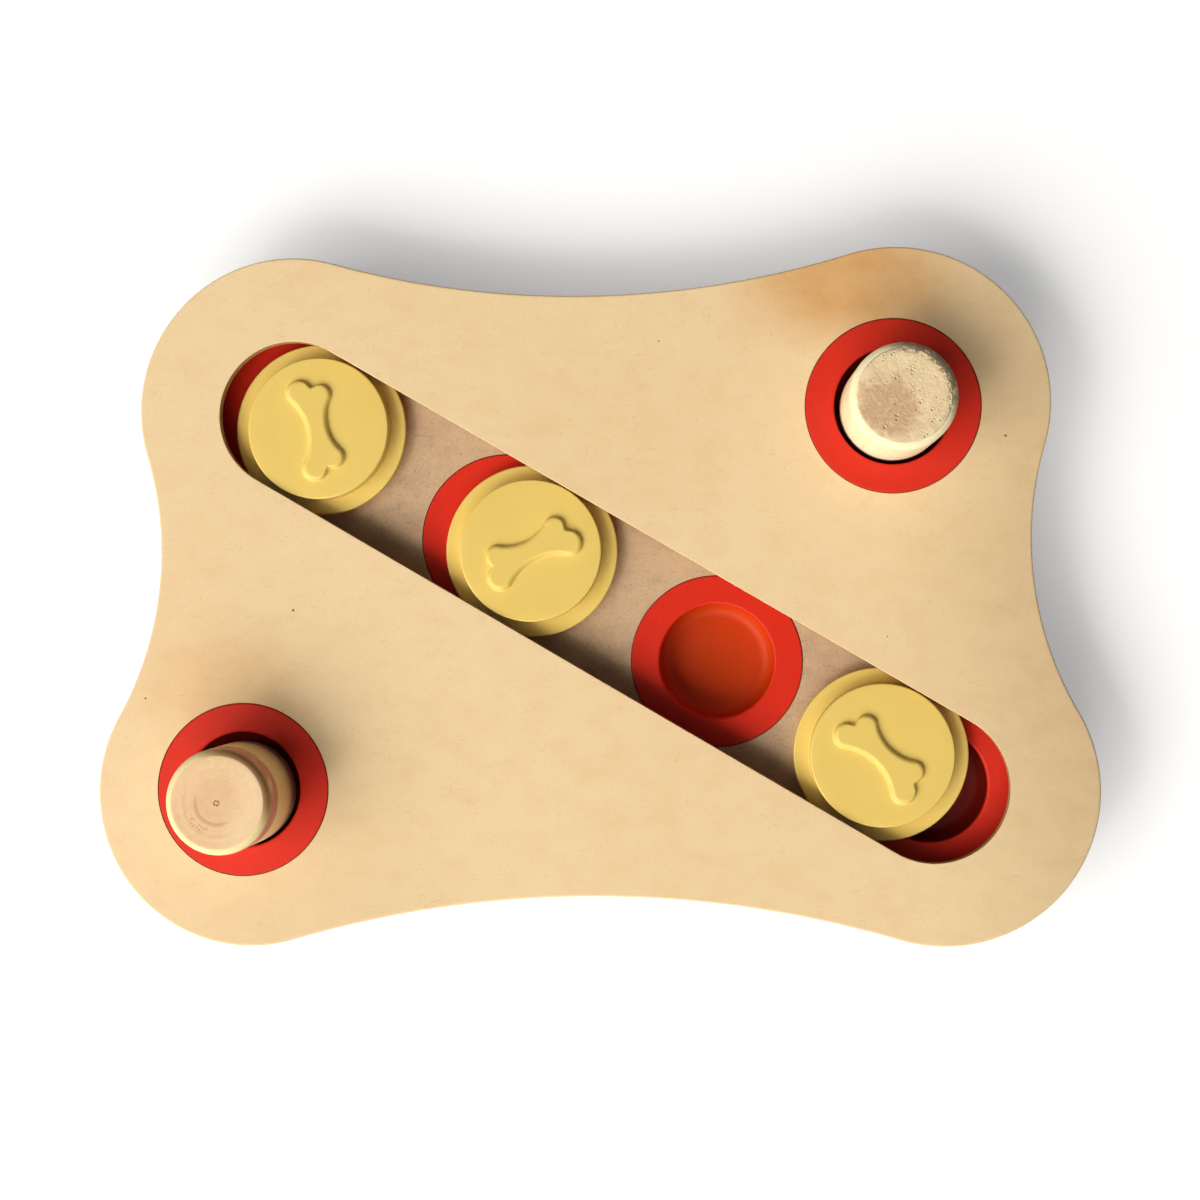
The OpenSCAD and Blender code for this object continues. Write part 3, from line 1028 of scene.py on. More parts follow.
def make_finishes() -> Finishes:
    """Build every material of the feeder.

    Returns:
        The materials, by what they are for.
    """
    face = FibreboardFinish(
        name="sanded_fibreboard", ground=screen(243, 213, 166), warm=screen(235, 199, 146),
        dark_fibre=screen(196, 150, 98), pale_fibre=screen(250, 230, 190), speck=screen(112, 84, 56),
        nap=0.1, mottle=0.4, fibres=0.18, roughness=0.5,
        # Painted shade: warm shadow tones behind the two pegs, and darker tones where the light falls off at
        # the right end and over the front left.
        shade_patches=(ShadePatch((90, 108, 31), (50, 30, 50), 0.8, screen(214, 154, 86)),
                ShadePatch((-130, -30, 31), (40, 30, 50), 0.35, screen(220, 164, 98)),
                ShadePatch((200, 0, 31), (105, 230, 50), 0.75, screen(196, 168, 128)),
                ShadePatch((-100, -105, 31), (80, 70, 50), 0.4, screen(222, 192, 146))))
    floor = FibreboardFinish(
        name="slot_floor_fibreboard", ground=screen(209, 175, 137), warm=screen(184, 152, 122),
        dark_fibre=screen(150, 116, 88), pale_fibre=screen(228, 198, 160), speck=screen(84, 64, 48),
        nap=0.4, mottle=0.7, fibres=0.55, roughness=0.6)
    cut = CutEdgeFinish(
        name="cut_fibreboard_edge", ground=screen(188, 150, 104), layer=screen(176, 138, 93),
        scorch=screen(146, 110, 72))
    # Painted shade: the routed channel edge under the top sheet is darker than a cut edge, for the shade in
    # that undercut.
    routed = CutEdgeFinish(
        name="routed_channel_edge", ground=screen(132, 100, 68), layer=screen(110, 80, 54),
        scorch=screen(84, 60, 38))
    # The wells' inside is painted a darker orange, as shade with warm bounce light.
    red = MouldedFinish(
        name="red_moulded_plastic", colour=screen(217, 46, 26), deep=screen(210, 38, 22),
        scuffed=screen(232, 96, 80), inside=screen(196, 60, 8), roughness=0.42, scuffs=0.5, gloss=0.14,
        glow=0.0)
    # Painted shade: the same red, with a dark inside for the corner cups and the last well.
    red_shaded_inside = replace(
        red, name="red_moulded_plastic_corner", colour=screen(214, 49, 32), deep=screen(207, 42, 28),
        inside=screen(114, 20, 12))
    yellow = MouldedFinish(
        name="yellow_moulded_plastic", colour=screen(236, 204, 108), deep=screen(229, 195, 96),
        scuffed=screen(244, 226, 160), inside=screen(236, 204, 108), roughness=0.4, scuffs=0.4, gloss=0.35,
        glow=0.2)
    ringed = TurnedWoodFinish(
        name="turned_wood_ringed", end=PegEnd.TURNED, side=screen(249, 229, 168), face=screen(245, 207, 162),
        streak=screen(236, 208, 154), heart=screen(206, 152, 112), pore=screen(140, 96, 62),
        pink_band=screen(211, 134, 122), pink_band_share=0.9, shade_and_dirt=screen(172, 114, 72), shade_and_dirt_drop=2.6 * MM,
        shade_and_dirt_gaps=0.0, bare=screen(250, 220, 180), height=PEG_HEIGHT)
    pitted = replace(
        ringed, name="turned_wood_pitted", end=PegEnd.CRUMBLED, side=screen(252, 240, 196),
        face=screen(243, 216, 172), streak=screen(238, 218, 172), heart=screen(196, 148, 112),
        pore=screen(112, 84, 60), pink_band_share=0.0, shade_and_dirt=screen(126, 98, 72), shade_and_dirt_drop=3.4 * MM,
        shade_and_dirt_gaps=0.25)
    rubber = RubberFinish(name="foot_rubber", colour=screen(34, 34, 36), dust=screen(112, 104, 94))
    zinc = ZincFinish(name="zinc_plate", bright=screen(206, 208, 212), bloom=screen(168, 168, 164))
    return Finishes(*(finish.build() for finish in (face, floor, cut, routed, red, red_shaded_inside, yellow, ringed,
                                                 pitted, rubber, zinc)))


# ---- the feeder's pieces ----


CORNER_CUPS = ("peg_cup_left", "peg_cup_right")
BONE_TURNS = (102, 206, 135)
FOOT_NODES = ("foot_rear_right", "foot_rear_left", "foot_front_left", "foot_front_right")


def foot_spots() -> list[Vector]:
    """Places of the four feet under the board."""
    return [axis_of(node)[0].xy for node in FOOT_NODES]


@dataclass
class Piece:
    """What every sub-assembly shares: the finishes that dress it and the tree that turns its profiles."""

    finishes: Finishes
    turned: TurnedTree

    def keep(self, piece: bpy.types.Object, body: str, slot: str, *nodes: str) -> None:
        """Bind a finished piece to the frame and report it.

        Args:
            piece: the piece.
            body: the body that it rides on.
            slot: not used.
            *nodes: the nodes that it stands for.
        """
        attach(piece, body)
        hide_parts(*nodes)
        LOG.info("%s: %d faces on %s", piece.name, len(piece.data.polygons), body)

    def turn(self, name: str, profile: Profile, place: Vector, finish: bpy.types.Material,
             turn: float = 0.0, segments: int = 160) -> bpy.types.Object:
        """Turn a profile about an upright axis at a place.

        Args:
            name: name of the piece.
            profile: radii and heights above the place, from the axis back to the axis.
            place: foot of the axis.
            finish: the piece's material.
            turn: angle by which the piece is turned, in degrees.
            segments: number of steps round the axis.

        Returns:
            The new piece.
        """
        carrier = line_mesh(name + "_profile", [(radius, 0.0, height) for radius, height in profile])
        return self.turned.grow(name, carrier, Segments=segments, Place=place, Turn=math.radians(turn),
                                Finish=finish)


@dataclass
class Board(Piece):
    """The three glued sheets with their lobed outline, slot, pockets and screw holes.

    The waists are the hollow edges between the lobes: rear, left, front and right.
    """

    lobe_r: float = 53.5 * MM
    rear_lobe_x: float = 104.7 * MM
    front_lobe_x: float = 120.0 * MM
    lobe_y: float = 66.7 * MM
    waist_radii: tuple[float, ...] = (320 * MM, 118 * MM, 374 * MM, 118 * MM)
    slot_angle: float = 30.6
    slot_width: float = 51.8 * MM
    channel_width: float = 63.0 * MM
    pocket_r: float = 21.8 * MM
    recess_r: float = 30.25 * MM
    recess_depth: float = 1.6 * MM
    pocket_depth: float = 12.5 * MM
    screw_hole_r: float = 1.7 * MM
    screw_hole_depth: float = 10.0 * MM
    top_ease: float = 0.7 * MM
    seam_ease: float = 0.15 * MM
    slot_ease: float = 0.18 * MM
    guard: float = 0.3 * MM
    well_count: int = 4
    lobe_steps: int = 112
    waist_steps: int = 72
    slot_end_steps: int = 72
    hole_steps: int = 128
    screw_hole_steps: int = 32

    def lobes(self) -> list[Vector]:
        """Centres of the four lobes, in order round the board."""
        rear, front, y = self.rear_lobe_x, self.front_lobe_x, self.lobe_y
        return [Vector(c) for c in ((rear, y), (-rear, y), (-front, -y), (front, -y))]

    def waist_centre(self, i: int) -> Vector:
        """Find the circle of a hollow edge, which touches the lobes on both its sides.

        Args:
            i: number of the lobe before it.

        Returns:
            The circle's centre.
        """
        lobes = self.lobes()
        first, second = lobes[i], lobes[(i + 1) % len(lobes)]
        along = (second - first).normalized()
        half = (second - first).length / 2
        rise = math.sqrt((self.waist_radii[i] + self.lobe_r) ** 2 - half**2)
        return (first + second) / 2 + rise * Vector((along.y, -along.x))

    def rim(self) -> Stations:
        """Go round the board's outline: a round lobe and a hollow waist, four times.

        Returns:
            The outline's stations, anticlockwise.
        """
        lobes = self.lobes()
        stations = []
        for i, lobe in enumerate(lobes):
            before, after = self.waist_centre((i or len(lobes)) - 1), self.waist_centre(i)
            following = lobes[(i + 1) % len(lobes)]
            stations += self._bow(lobe, self.lobe_r, before - lobe, after - lobe, 1, self.lobe_steps)
            stations += self._bow(after, self.waist_radii[i], lobe - after, following - after, -1,
                                  self.waist_steps)
        return stations

    @staticmethod
    def _bow(centre: Vector, radius: float, start: Vector, end: Vector, way: int, steps: int) -> Stations:
        """Stations along an arc from one direction to another.

        Args:
            centre: centre of the arc.
            radius: radius of the arc.
            start: direction of its first point.
            end: direction of its end.
            way: 1 for a round edge, walked anticlockwise, and -1 for a hollow one, walked clockwise.
            steps: number of steps.

        Returns:
            The stations, without the one at the end, which is the next arc's first.
        """
        first = math.atan2(start.y, start.x)
        sweep = (way * (math.atan2(end.y, end.x) - first)) % math.tau
        rays = [ray_at(first + way * sweep * i / steps) for i in range(steps)]
        return [(centre + ray * radius, ray * way) for ray in rays]

    def slot(self, width: float) -> Stations:
        """Go round a slot whose round ends stand over the first and the last well.

        Args:
            width: width of the slot.

        Returns:
            Its stations.
        """
        stations = []
        for number, turn in ((self.well_count, -90), (1, 90)):
            centre = axis_of(f"well_cup_{number}")[0].xy
            for i in range(self.slot_end_steps + 1):
                ray = ray_at(math.radians(turn - self.slot_angle + 180 * i / self.slot_end_steps))
                stations.append((centre + ray * width / 2, -ray))
        return stations

    def pockets(self, low: float, high: float, cups: Sequence[str], opening: Opening) -> list[Loop]:
        """Holes for the cups whose flanges lie in a sheet's upper face.

        Args:
            low: height at which the holes end.
            high: height of the sheet's upper face.
            cups: the cups' nodes.
            opening: whether the holes go through the sheet.

        Returns:
            A stepped loop for each cup.
        """
        step, ledge = self.pocket_r - self.recess_r, high - self.recess_depth
        section = [(self.guard, high), (0.0, high), (0.0, ledge), (step, ledge), (step, low)]
        return [Loop(circle(axis_of(cup)[0].xy, self.recess_r, self.hole_steps), section, opening)
                for cup in cups]

    def corner_holes(self, low: float, high: float, opening: Opening) -> list[Loop]:
        """Plain holes under the corner cups' recesses.

        Args:
            low: height at which the holes end.
            high: height at which they start.
            opening: whether they go through the sheet.

        Returns:
            A loop for each hole.
        """
        return [Loop(circle(axis_of(cup)[0].xy, self.pocket_r, self.hole_steps), sheer(low, high), opening)
                for cup in CORNER_CUPS]

    def sheet(self, node: str, loops: list[Loop], top: float, bottom: float, faces: bpy.types.Material,
              slot: str) -> None:
        """Make one sheet out of its rim and its holes.

        Args:
            node: the solid that it stands for.
            loops: the holes.
            top: radius of the rim's upper corner.
            bottom: radius of the rim's lower corner.
            faces: material of the flat faces.
            slot: a label passed on to keep.
        """
        rim = Loop(self.rim(), eased(*heights(node), top, bottom))
        mesh = flat_solid(node.replace("plate", "sheet"), [rim, *loops])
        for finish in (faces, self.finishes.cut, self.finishes.routed):
            mesh.materials.append(finish)
        self.keep(set_out(mesh.name, mesh), "board", slot, node)

    def build(self) -> None:
        """Make the three sheets."""
        lid_low, lid_high = heights("top_plate")
        core_low, core_high = heights("channel_plate")
        base_low, base_high = heights("base_plate")
        ease, seam = self.top_ease, self.seam_ease

        slot = Loop(self.slot(self.slot_width), eased(lid_low, lid_high, self.slot_ease, seam))
        corners = self.pockets(lid_low, lid_high, CORNER_CUPS, Opening.THROUGH)
        self.sheet("top_plate", [slot, *corners], ease, seam, self.finishes.face, "fibreboard")

        channel = Loop(self.slot(self.channel_width), sheer(core_low, core_high), wall_slot=2)
        corners = self.corner_holes(core_low, core_high, Opening.THROUGH)
        self.sheet("channel_plate", [channel, *corners], seam, seam, self.finishes.floor, "fibreboard_core")

        cups = [f"well_cup_{i + 1}" for i in range(self.well_count)]
        wells = self.pockets(base_high - self.pocket_depth, base_high, cups, Opening.FROM_ABOVE)
        corners = self.corner_holes(lid_high - self.pocket_depth, base_high, Opening.FROM_ABOVE)
        screw_wall = sheer(base_low, base_low + self.screw_hole_depth)
        screws = [Loop(circle(spot, self.screw_hole_r, self.screw_hole_steps), screw_wall, Opening.FROM_BELOW)
                  for spot in foot_spots()]
        self.sheet("base_plate", [*wells, *corners, *screws], seam, ease, self.finishes.floor,
                   "fibreboard_core")


@dataclass
class TreatCup(Piece):
    """A thin moulded cup with a wide flange, a rolled lip and a rounded floor."""

    flange_r: float = 30.0 * MM
    flange_t: float = 1.6 * MM
    mouth_r: float = 20.1 * MM
    depth: float = 12.0 * MM
    wall: float = 1.4 * MM
    lip_r: float = 0.9 * MM
    corner_r: float = 4.5 * MM
    edge_r: float = 0.4 * MM

    def profile(self) -> Profile:
        """Section of the cup, from under its floor round to the floor's upper face.

        Returns:
            Radii, and heights above the flange.
        """
        outer = self.mouth_r + self.wall
        outer_corner = self.corner_r + self.wall
        floor = self.wall - self.depth
        return guarded([
            (0.0, -self.depth),
            *arc((outer - outer_corner, outer_corner - self.depth), outer_corner, -90, 0, 10),
            (outer, -self.flange_t), (self.flange_r, -self.flange_t),
            *arc((self.flange_r - self.edge_r, -self.edge_r), self.edge_r, 0, 90, 6),
            *arc((self.mouth_r + self.lip_r, -self.lip_r), self.lip_r, 90, 180, 12),
            *arc((self.mouth_r - self.corner_r, floor + self.corner_r), self.corner_r, 0, -90, 10),
            (0.0, floor),
        ])

    def build(self, node: str, name: str, finish: bpy.types.Material) -> None:
        """Make one cup.

        Args:
            node: the solid that it stands for.
            name: its own name.
            finish: its material.
        """
        cup = self.turn(name, self.profile(), axis_of(node)[1], finish)
        self.keep(cup, "board", "red_plastic", node)


@dataclass(frozen=True)
class Bone:
    """The raised bone on a disc: four round knobs joined by two hollow sides, with soft walls.

    A knob is given by its place along and across the bone, and its radius. The wall rises from foot outside
    the outline to lip inside it, and the dome goes on rising as far in as crown. Two knobs are blended over
    the width notch in the wall, and over the width ease in the dome.
    """

    long_knob: Triple = (13.6 * MM, 3.9 * MM, 4.3 * MM)
    short_knob: Triple = (11.1 * MM, -3.6 * MM, 3.6 * MM)
    waist: float = 3.7 * MM
    height: float = 1.8 * MM
    foot: float = 0.45 * MM
    lip: float = 0.35 * MM
    crown: float = 1.8 * MM
    notch: float = 2.6 * MM
    ease: float = 9.0 * MM
    fullness: float = 2.6

    def distance(self, x: float, y: float, blend: float) -> float:
        """Distance of a point from the bone's outline, less than nought inside it.

        Args:
            x: place along the bone from its middle.
            y: place across it, towards the long knobs.
            blend: how wide the notch between two knobs is filled.

        Returns:
            The distance, exact near the outline.
        """
        point = Vector((abs(x), y))
        knobs, limits = [], []
        for knob_x, knob_y, radius in (self.long_knob, self.short_knob):
            knob = Vector((knob_x, knob_y))
            knobs.append((point - knob).length - radius)
            drop = self.waist - abs(knob_y)
            side_r = (knob_x**2 + drop**2 - radius**2) / (2 * (radius - drop))
            hub = Vector((0.0, math.copysign(self.waist + side_r, knob_y)))
            limits.append(side_r - (point - hub).length)
            ray = (hub - knob).normalized()
            limits.append(math.copysign(1.0, knob_y) * (point - knob).dot(Vector((ray.y, -ray.x))))
        end = Vector(self.long_knob[:2]) - Vector(self.short_knob[:2])
        limits.append((point - Vector(self.short_knob[:2])).dot(Vector((end.y, -end.x)).normalized()))
        overlap = max(blend - abs(knobs[0] - knobs[1]), 0.0)
        return min(min(knobs) - overlap**2 / (4 * blend), max(limits))

    def rise(self, x: float, y: float) -> float:
        """Height of the bone's surface above the disc's face.

        Args:
            x: place along the bone from its middle.
            y: place across it, towards the long knobs.

        Returns:
            A steep wall times a soft dome, whose blends over the end notches differ.
        """
        wall = (self.foot - self.distance(x, y, self.notch)) / (self.foot + self.lip)
        dome = (self.foot - self.distance(x, y, self.ease)) / (self.foot + self.crown)
        wall, dome = (min(max(share, 0.0), 1.0) for share in (wall, dome))
        return self.height * wall * wall * (3 - 2 * wall) * (1 - (1 - dome) ** self.fullness)


@dataclass
class BoneDisc(Piece):
    """A sliding disc: a captive flange, a boss that fills the slot, and a bone to push against."""

    flange_r: float = 30.2 * MM
    flange_t: float = 4.6 * MM
    boss_r: float = 24.8 * MM
    height: float = 9.9 * MM
    edge_r: float = 0.6 * MM
    slant: float = 0.4 * MM
    glide: float = 0.1 * MM
    fillet_r: float = 0.5 * MM
    wall: float = 2.2 * MM
    segments: int = 288
    face_step: float = 0.25 * MM
    face_margin: float = 2.0 * MM
    rib_t: float = 1.6 * MM
    rib_h: float = 2.0 * MM
    rib_angles: Triple = (0, 60, 120)
    hub_r: float = 4.0 * MM
    hub_segments: int = 48
    bone: Bone = field(default_factory=Bone)

    def profile(self) -> Profile:
        """Section of the disc, from its hollow's ceiling round to the middle of its face.

        Returns:
            Radii, and heights above the disc's foot.
        """
        hollow_r, hollow_h = self.boss_r - self.wall, self.height - self.wall
        step_r, step_h = self.flange_r - self.wall, self.flange_t - self.wall
        edge, fillet = self.edge_r, self.fillet_r
        wall_side = guarded([
            (0.0, hollow_h), (hollow_r, hollow_h), (hollow_r, step_h), (step_r, step_h), (step_r, self.glide),
            (self.flange_r - self.slant, self.glide),
            *arc((self.flange_r - edge, self.flange_t - edge), edge, 0, 90, 8),
            *arc((self.boss_r + fillet, self.flange_t + fillet), fillet, 270, 180, 5),
            *arc((self.boss_r - edge, self.height - edge), edge, 0, 90, 8),
        ])
        reach = self.bone.long_knob[0] + self.bone.long_knob[2] + self.face_margin
        rings = round(reach / self.face_step)
        return wall_side + [(reach * (rings - i) / rings, self.height) for i in range(rings + 1)]

    def raise_bone(self, mesh: bpy.types.Mesh) -> None:
        """Lift the points of the disc's face to the bone's surface.

        Args:
            mesh: the disc's mesh.
        """
        for vertex, mark in zip(mesh.vertices, mesh.attributes[LOCAL].data):
            x, y, z = mark.vector
            if z > self.height - TOUCH:
                vertex.co.z += self.bone.rise(x, y)

    def add_ribs(self, mesh: bpy.types.Mesh, place: Vector, turn: float) -> None:
        """Add the three crossed ribs and the hub under the disc's face.

        Args:
            mesh: the disc's mesh.
            place: foot of its axis.
            turn: angle of its bone, in degrees.
        """
        sink = self.wall / 2
        size = (2 * self.boss_r - self.wall, self.rib_t, self.rib_h + sink)
        rib_foot = self.height - self.wall - self.rib_h
        stand = Matrix.Translation(place + Vector((0, 0, rib_foot + size[2] / 2)))
        with editing(mesh) as shape:
            for angle in self.rib_angles:
                spin = Matrix.Rotation(math.radians(turn + angle), 4, "Z")
                bmesh.ops.create_cube(shape, size=1.0, matrix=stand @ spin @ Matrix.Diagonal((*size, 1.0)))
            bmesh.ops.create_cone(shape, cap_ends=True, segments=self.hub_segments, radius1=self.hub_r,
                                  radius2=self.hub_r, depth=size[2], matrix=stand)

    def build(self, number: int, turn: float) -> None:
        """Make one disc.

        Args:
            number: the disc's number along the slot.
            turn: angle of its bone, in degrees.
        """
        node = f"sliding_disc_{number}"
        place, _ = axis_of(node)
        disc = self.turn(f"bone_disc_{number}", self.profile(), place, self.finishes.yellow, turn,
                         self.segments)
        self.raise_bone(disc.data)
        self.add_ribs(disc.data, place, turn)
        face_outwards(disc.data)
        self.keep(disc, f"disc_{number}", "yellow_plastic", node)


@dataclass
class Peg(Piece):
    """A turned wooden peg that stands loose in a corner cup."""

    foot_r: float = 18.1 * MM
    head_r: float = 17.8 * MM
    round_r: float = 3.0 * MM
    foot_round_r: float = 4.5 * MM
    height: float = PEG_HEIGHT
    groove_pitch: float = 1.25 * MM
    groove_depth: float = 0.05 * MM
    grooved_r: float = 12.5 * MM
    face_rings: int = 80

    def profile(self, grooves: float) -> Profile:
        """Section of the peg.

        Args:
            grooves: share of the tool's grooves that the end keeps.

        Returns:
            The section, from the middle of its foot round to the middle of its head.
        """
        points = guarded([
            (0.0, 0.0),
            *arc((self.foot_r - self.foot_round_r, self.foot_round_r), self.foot_round_r, -90, 0, 10),
            *arc((self.head_r - self.round_r, self.height - self.round_r), self.round_r, 0, 90, 14),
        ])
        for i in range(self.face_rings + 1):
            radius = self.grooved_r * (self.face_rings - i) / self.face_rings
            dip = math.sin(math.pi * radius / self.groove_pitch) ** 2
            points.append((radius, self.height - grooves * self.groove_depth * dip))
        return points

    def build(self, side: str, grooves: float, finish: bpy.types.Material) -> None:
        """Make the peg on one side.

        Args:
            side: left or right.
            grooves: share of the tool's grooves that its end keeps.
            finish: its material.
        """
        node = f"peg_{side}"
        peg = self.turn(f"turned_peg_{side}", self.profile(grooves), axis_of(node)[0], finish)
        self.keep(peg, f"{side}_peg", "beech", node)


@dataclass
class FootSet(Piece):
    """Four rubber feet, each held by a cross-head wood screw."""

    repeated: RepeatTree
    height: float = 4.0 * MM
    radius: float = 8.0 * MM
    sole_r: float = 7.0 * MM
    edge_r: float = 0.8 * MM
    hole_r: float = 1.7 * MM
    recess_r: float = 4.0 * MM
    recess_h: float = 2.4 * MM
    recess_round: float = 0.3 * MM
    mouth_round: float = 0.4 * MM
    guard: float = 0.15 * MM
    head_r: float = 3.4 * MM
    head_h: float = 1.8 * MM
    head_round: float = 1.2 * MM
    shank_r: float = 1.25 * MM
    shank_sink: float = 0.4 * MM
    thread_r: float = 1.6 * MM
    thread_pitch: float = 1.25 * MM
    thread_width: float = 0.44
    levels_per_turn: int = 10
    shank_segments: int = 24
    screw_length: float = 10.0 * MM
    tip_h: float = 2.0 * MM
    tip_share: float = 0.2
    cross_w: float = 0.9 * MM
    cross_reach: float = 1.9 * MM
    cross_depth: float = 1.0 * MM
    spin_seed: int = 7

    def foot_profile(self) -> Profile:
        """Section of a foot, a closed ring round its screw hole.

        Returns:
            Radii, and heights above the floor.
        """
        start = (self.hole_r, self.recess_h)
        inner, mouth = self.recess_round, self.mouth_round
        return guarded([
            start, (self.recess_r - inner, self.recess_h),
            *arc((self.recess_r - inner, self.recess_h - inner), inner, 90, 0, 3),
            *arc((self.recess_r + mouth, mouth), mouth, 180, 270, 4),
            *arc((self.sole_r - self.edge_r, self.edge_r), self.edge_r, -90, 0, 6),
            (self.radius, self.height - self.edge_r), (self.radius, self.height), (self.hole_r, self.height),
            start,
        ], self.guard)

    def screw_head(self) -> bpy.types.Mesh:
        """Make the screw's round head, which looks down and has a cross recess.

        Returns:
            The head's mesh.
        """
        low, curve = self.recess_h - self.head_h, self.head_round
        stations = [(point, -away) for point, away in circle(Vector((0.0, 0.0)), self.head_r, 40)]
        rim = Loop(stations, [(0.0, self.recess_h), *arc((curve, low + curve), curve, 180, 270, 6),
                              (curve + 0.2 * MM, low)])
        half, reach = self.cross_w / 2, self.cross_reach
        corners = []
        for quarter in range(4):
            spin = Matrix.Rotation(quarter * math.pi / 2, 2)
            corners += [spin @ Vector(c) for c in ((half, half), (half, reach), (-half, reach))]
        recess = Loop([(corner, Vector((0.0, 0.0))) for corner in corners],
                      sheer(low, low + self.cross_depth), Opening.FROM_BELOW)
        return flat_solid("screw_head", [rim, recess])

    def shank_r_at(self, height: float, turn: float, end: float) -> float:
        """Radius of the shank, as a helix of ridges on a core that tapers at its tip.

        Args:
            height: height of the point.
            turn: its place round the axis, as a share of a turn.
            end: height of the tip.

        Returns:
            The radius there.
        """
        phase = (height / self.thread_pitch - turn) % 1.0
        ridge = max(0.0, 1.0 - abs(phase - 0.5) / (self.thread_width / 2))
        taper = min(1.0, (end - height) / self.tip_h)
        thread = self.shank_r + (self.thread_r - self.shank_r) * ridge
        return thread * (self.tip_share + (1.0 - self.tip_share) * taper)

    def add_shank(self, mesh: bpy.types.Mesh) -> None:
        """Add the threaded shank to a screw's head.

        Args:
            mesh: the head's mesh.
        """
        start, end = self.recess_h - self.shank_sink, self.recess_h + self.screw_length
        levels = round((end - start) / self.thread_pitch * self.levels_per_turn)
        turns = [step / self.shank_segments for step in range(self.shank_segments)]
        with editing(mesh) as shape:
            rings = []
            for height in (start + (end - start) * level / levels for level in range(levels + 1)):
                points = [ray_at(math.tau * turn) * self.shank_r_at(height, turn, end) for turn in turns]
                rings.append([shape.verts.new((*point, height)) for point in points])
            join_rings(shape, rings)
            for ring in (rings[0], rings[-1]):
                shape.faces.new(ring)

    def repeat(self, name: str, pattern: bpy.types.Object, spin: float, finish: bpy.types.Material,
               slot: str, *nodes: str) -> None:
        """Set a pattern on the four foot places and throw the pattern away.

        Args:
            name: name of the new piece.
            pattern: the piece that is copied.
            spin: largest angle by which a copy is turned at random.
            finish: the piece's material.
            slot: a label passed on to keep.
            *nodes: the nodes that it stands for.
        """
        spots = line_mesh(name + "_spots", [(spot.x, spot.y, 0.0) for spot in foot_spots()])
        piece = self.repeated.grow(name, spots, Piece=pattern, Spin=spin, Seed=self.spin_seed, Finish=finish)
        bpy.data.objects.remove(pattern)
        self.keep(piece, "board", slot, *nodes)

    def build(self) -> None:
        """Make the feet and their screws."""
        rubber, zinc = self.finishes.rubber, self.finishes.zinc
        foot = self.turn("foot_pattern", self.foot_profile(), Vector(ORIGIN), rubber, segments=96)
        self.repeat("rubber_feet", foot, 0.0, rubber, "rubber", *FOOT_NODES)
        mesh = self.screw_head()
        self.add_shank(mesh)
        face_outwards(mesh)
        screw = set_out("screw_pattern", mesh)
        self.repeat("cross_head_screws", screw, math.pi / 2, zinc, "zinc", "foot_screws")


# ---- the studio ----


@dataclass(frozen=True)
class SoftBox:
    """A lamp with a wide, even face that looks at the feeder."""

    name: str
    azimuth: float
    elevation: float = 40.5
    distance: float = 4.5
    width: float = 3.6
    height: float = 3.0
    power: float = 166
    tint: Colour = (1.0, 0.98, 0.94)

    def hang(self) -> None:
        """Hang the lamp."""
        data = bpy.data.lights.new(self.name, "AREA")
        data.shape = "RECTANGLE"
        data.size = self.width
        data.size_y = self.height
        data.energy = self.power
        data.color = self.tint
        turn, rise = math.radians(self.azimuth), math.radians(self.elevation)
        ray = Vector((*(ray_at(turn) * math.cos(rise)), math.sin(rise)))
        light = set_out(self.name, data)
        light.location = ray * self.distance
        light.rotation_euler = (-ray).to_track_quat("-Z", "Y").to_euler()


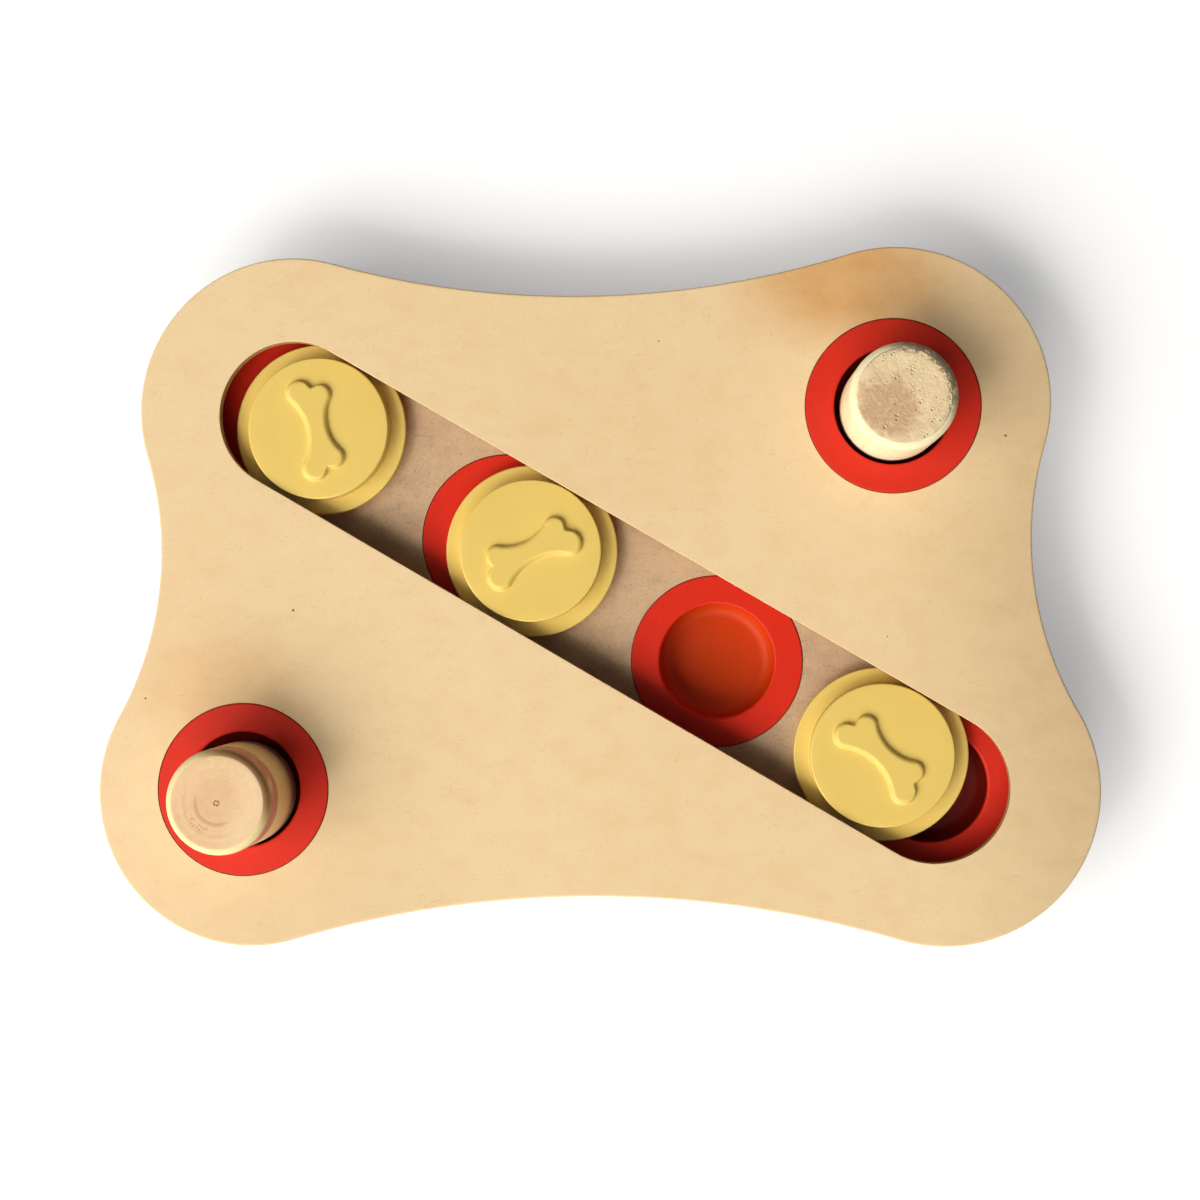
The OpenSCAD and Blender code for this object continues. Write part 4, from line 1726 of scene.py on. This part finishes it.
@dataclass
class Studio:
    """A white floor, a wide soft light from the front left, and a camera that looks straight down."""

    floor_size: float = 6.0
    floor_share: float = 0.8
    floor_lift: float = 0.35
    far_lift: float = 0.65
    fade: Pair = (0.6, 2.2)
    sky: float = 0.06
    sky_tint: Colour = (0.86, 0.93, 1.0)
    lamps: tuple[SoftBox, ...] = (SoftBox("left_softbox", 205), SoftBox("front_softbox", 248))
    camera_place: Triple = (34.32 * MM, -8.52 * MM, 631 * MM)
    camera_lean: Triple = (0.012901, 0.052170, -0.008667)
    lens: float = 52.079
    sensor: float = 36.0
    nearest: float = 0.01

    @staticmethod
    def seen(maker: NodeMaker) -> Field:
        """One for rays that show the stage itself: from the camera, in gloss or through glass."""
        camera = maker.add("ShaderNodeLightPath", {}, "Is Camera Ray")
        return camera.larger(camera.sibling("Is Glossy Ray")).larger(camera.sibling("Is Transmission Ray"))

    def make_floor(self) -> None:
        """Lay a pale floor that keeps the feeder's shadow and turns white with distance."""
        half = self.floor_size / 2
        mesh = bpy.data.meshes.new("studio_floor")
        corners = [(-half, -half, 0), (half, -half, 0), (half, half, 0), (-half, half, 0)]
        mesh.from_pydata(corners, [], [(0, 1, 2, 3)])
        floor = set_out("studio_floor", mesh)
        s = Surface("studio_floor")
        far = s.between(s.length(s.place), *self.fade)
        strength = self.seen(s) * (far * self.far_lift + self.floor_lift)
        matte = s.add("ShaderNodeBsdfDiffuse", {"Color": (self.floor_share,) * 3})
        lift = s.add("ShaderNodeEmission", {"Color": WHITE, "Strength": strength})
        both = s.add("ShaderNodeAddShader", {"Shader": matte, "Shader_001": lift})
        s.add("ShaderNodeOutputMaterial", {"Surface": both})
        mesh.materials.append(s.material)

    def make_sky(self) -> None:
        """Light the feeder evenly from all sides, before a white backdrop."""
        world = bpy.data.worlds.new("studio_sky")
        world.use_nodes = True
        world.node_tree.nodes.clear()
        maker = NodeMaker(world.node_tree)
        soft = maker.add("ShaderNodeBackground", {"Color": self.sky_tint, "Strength": self.sky})
        white = maker.add("ShaderNodeBackground", {"Color": WHITE, "Strength": 1.0})
        mixed = maker.add("ShaderNodeMixShader",
                          {"Fac": self.seen(maker), "Shader": soft, "Shader_001": white})
        maker.add("ShaderNodeOutputWorld", {"Surface": mixed})
        bpy.context.scene.world = world

    def make_camera(self) -> None:
        """Set up the camera."""
        data = bpy.data.cameras.new("camera")
        data.lens = self.lens
        data.sensor_width = self.sensor
        data.clip_start = self.nearest
        camera = set_out("camera", data)
        lean = {axis: Matrix.Rotation(angle, 4, axis) for axis, angle in zip("XYZ", self.camera_lean)}
        camera.matrix_world = Matrix.Translation(self.camera_place) @ lean["Z"] @ lean["X"] @ lean["Y"]
        bpy.context.scene.camera = camera

    def build(self) -> None:
        """Set up the whole studio."""
        bpy.context.scene.view_settings.view_transform = "Standard"
        self.make_floor()
        self.make_sky()
        for lamp in self.lamps:
            lamp.hang()
        self.make_camera()


def main() -> None:
    """Build the studio and the feeder."""
    logging.basicConfig(level=logging.INFO, format="%(name)s: %(message)s")
    Studio().build()
    finishes = make_finishes()
    kit = (finishes, TurnedTree())
    Board(*kit).build()
    for number in range(1, Board.well_count + 1):
        # The last well's inside is painted darker, as shade under the third disc.
        finish = finishes.red_shaded_inside if number == Board.well_count else finishes.red
        TreatCup(*kit).build(f"well_cup_{number}", f"treat_cup_{number}", finish)
    # The corner cups take the red with the dark painted-shade inside.
    for node in CORNER_CUPS:
        TreatCup(*kit).build(node, node.replace("peg_cup", "corner_cup"), finishes.red_shaded_inside)
    for number, turn in enumerate(BONE_TURNS, 1):
        BoneDisc(*kit).build(number, turn)
    Peg(*kit).build("left", 0.25, finishes.ringed_peg)
    Peg(*kit).build("right", 0.2, finishes.pitted_peg)
    FootSet(*kit, RepeatTree()).build()


if __name__ == "__main__":
    main()
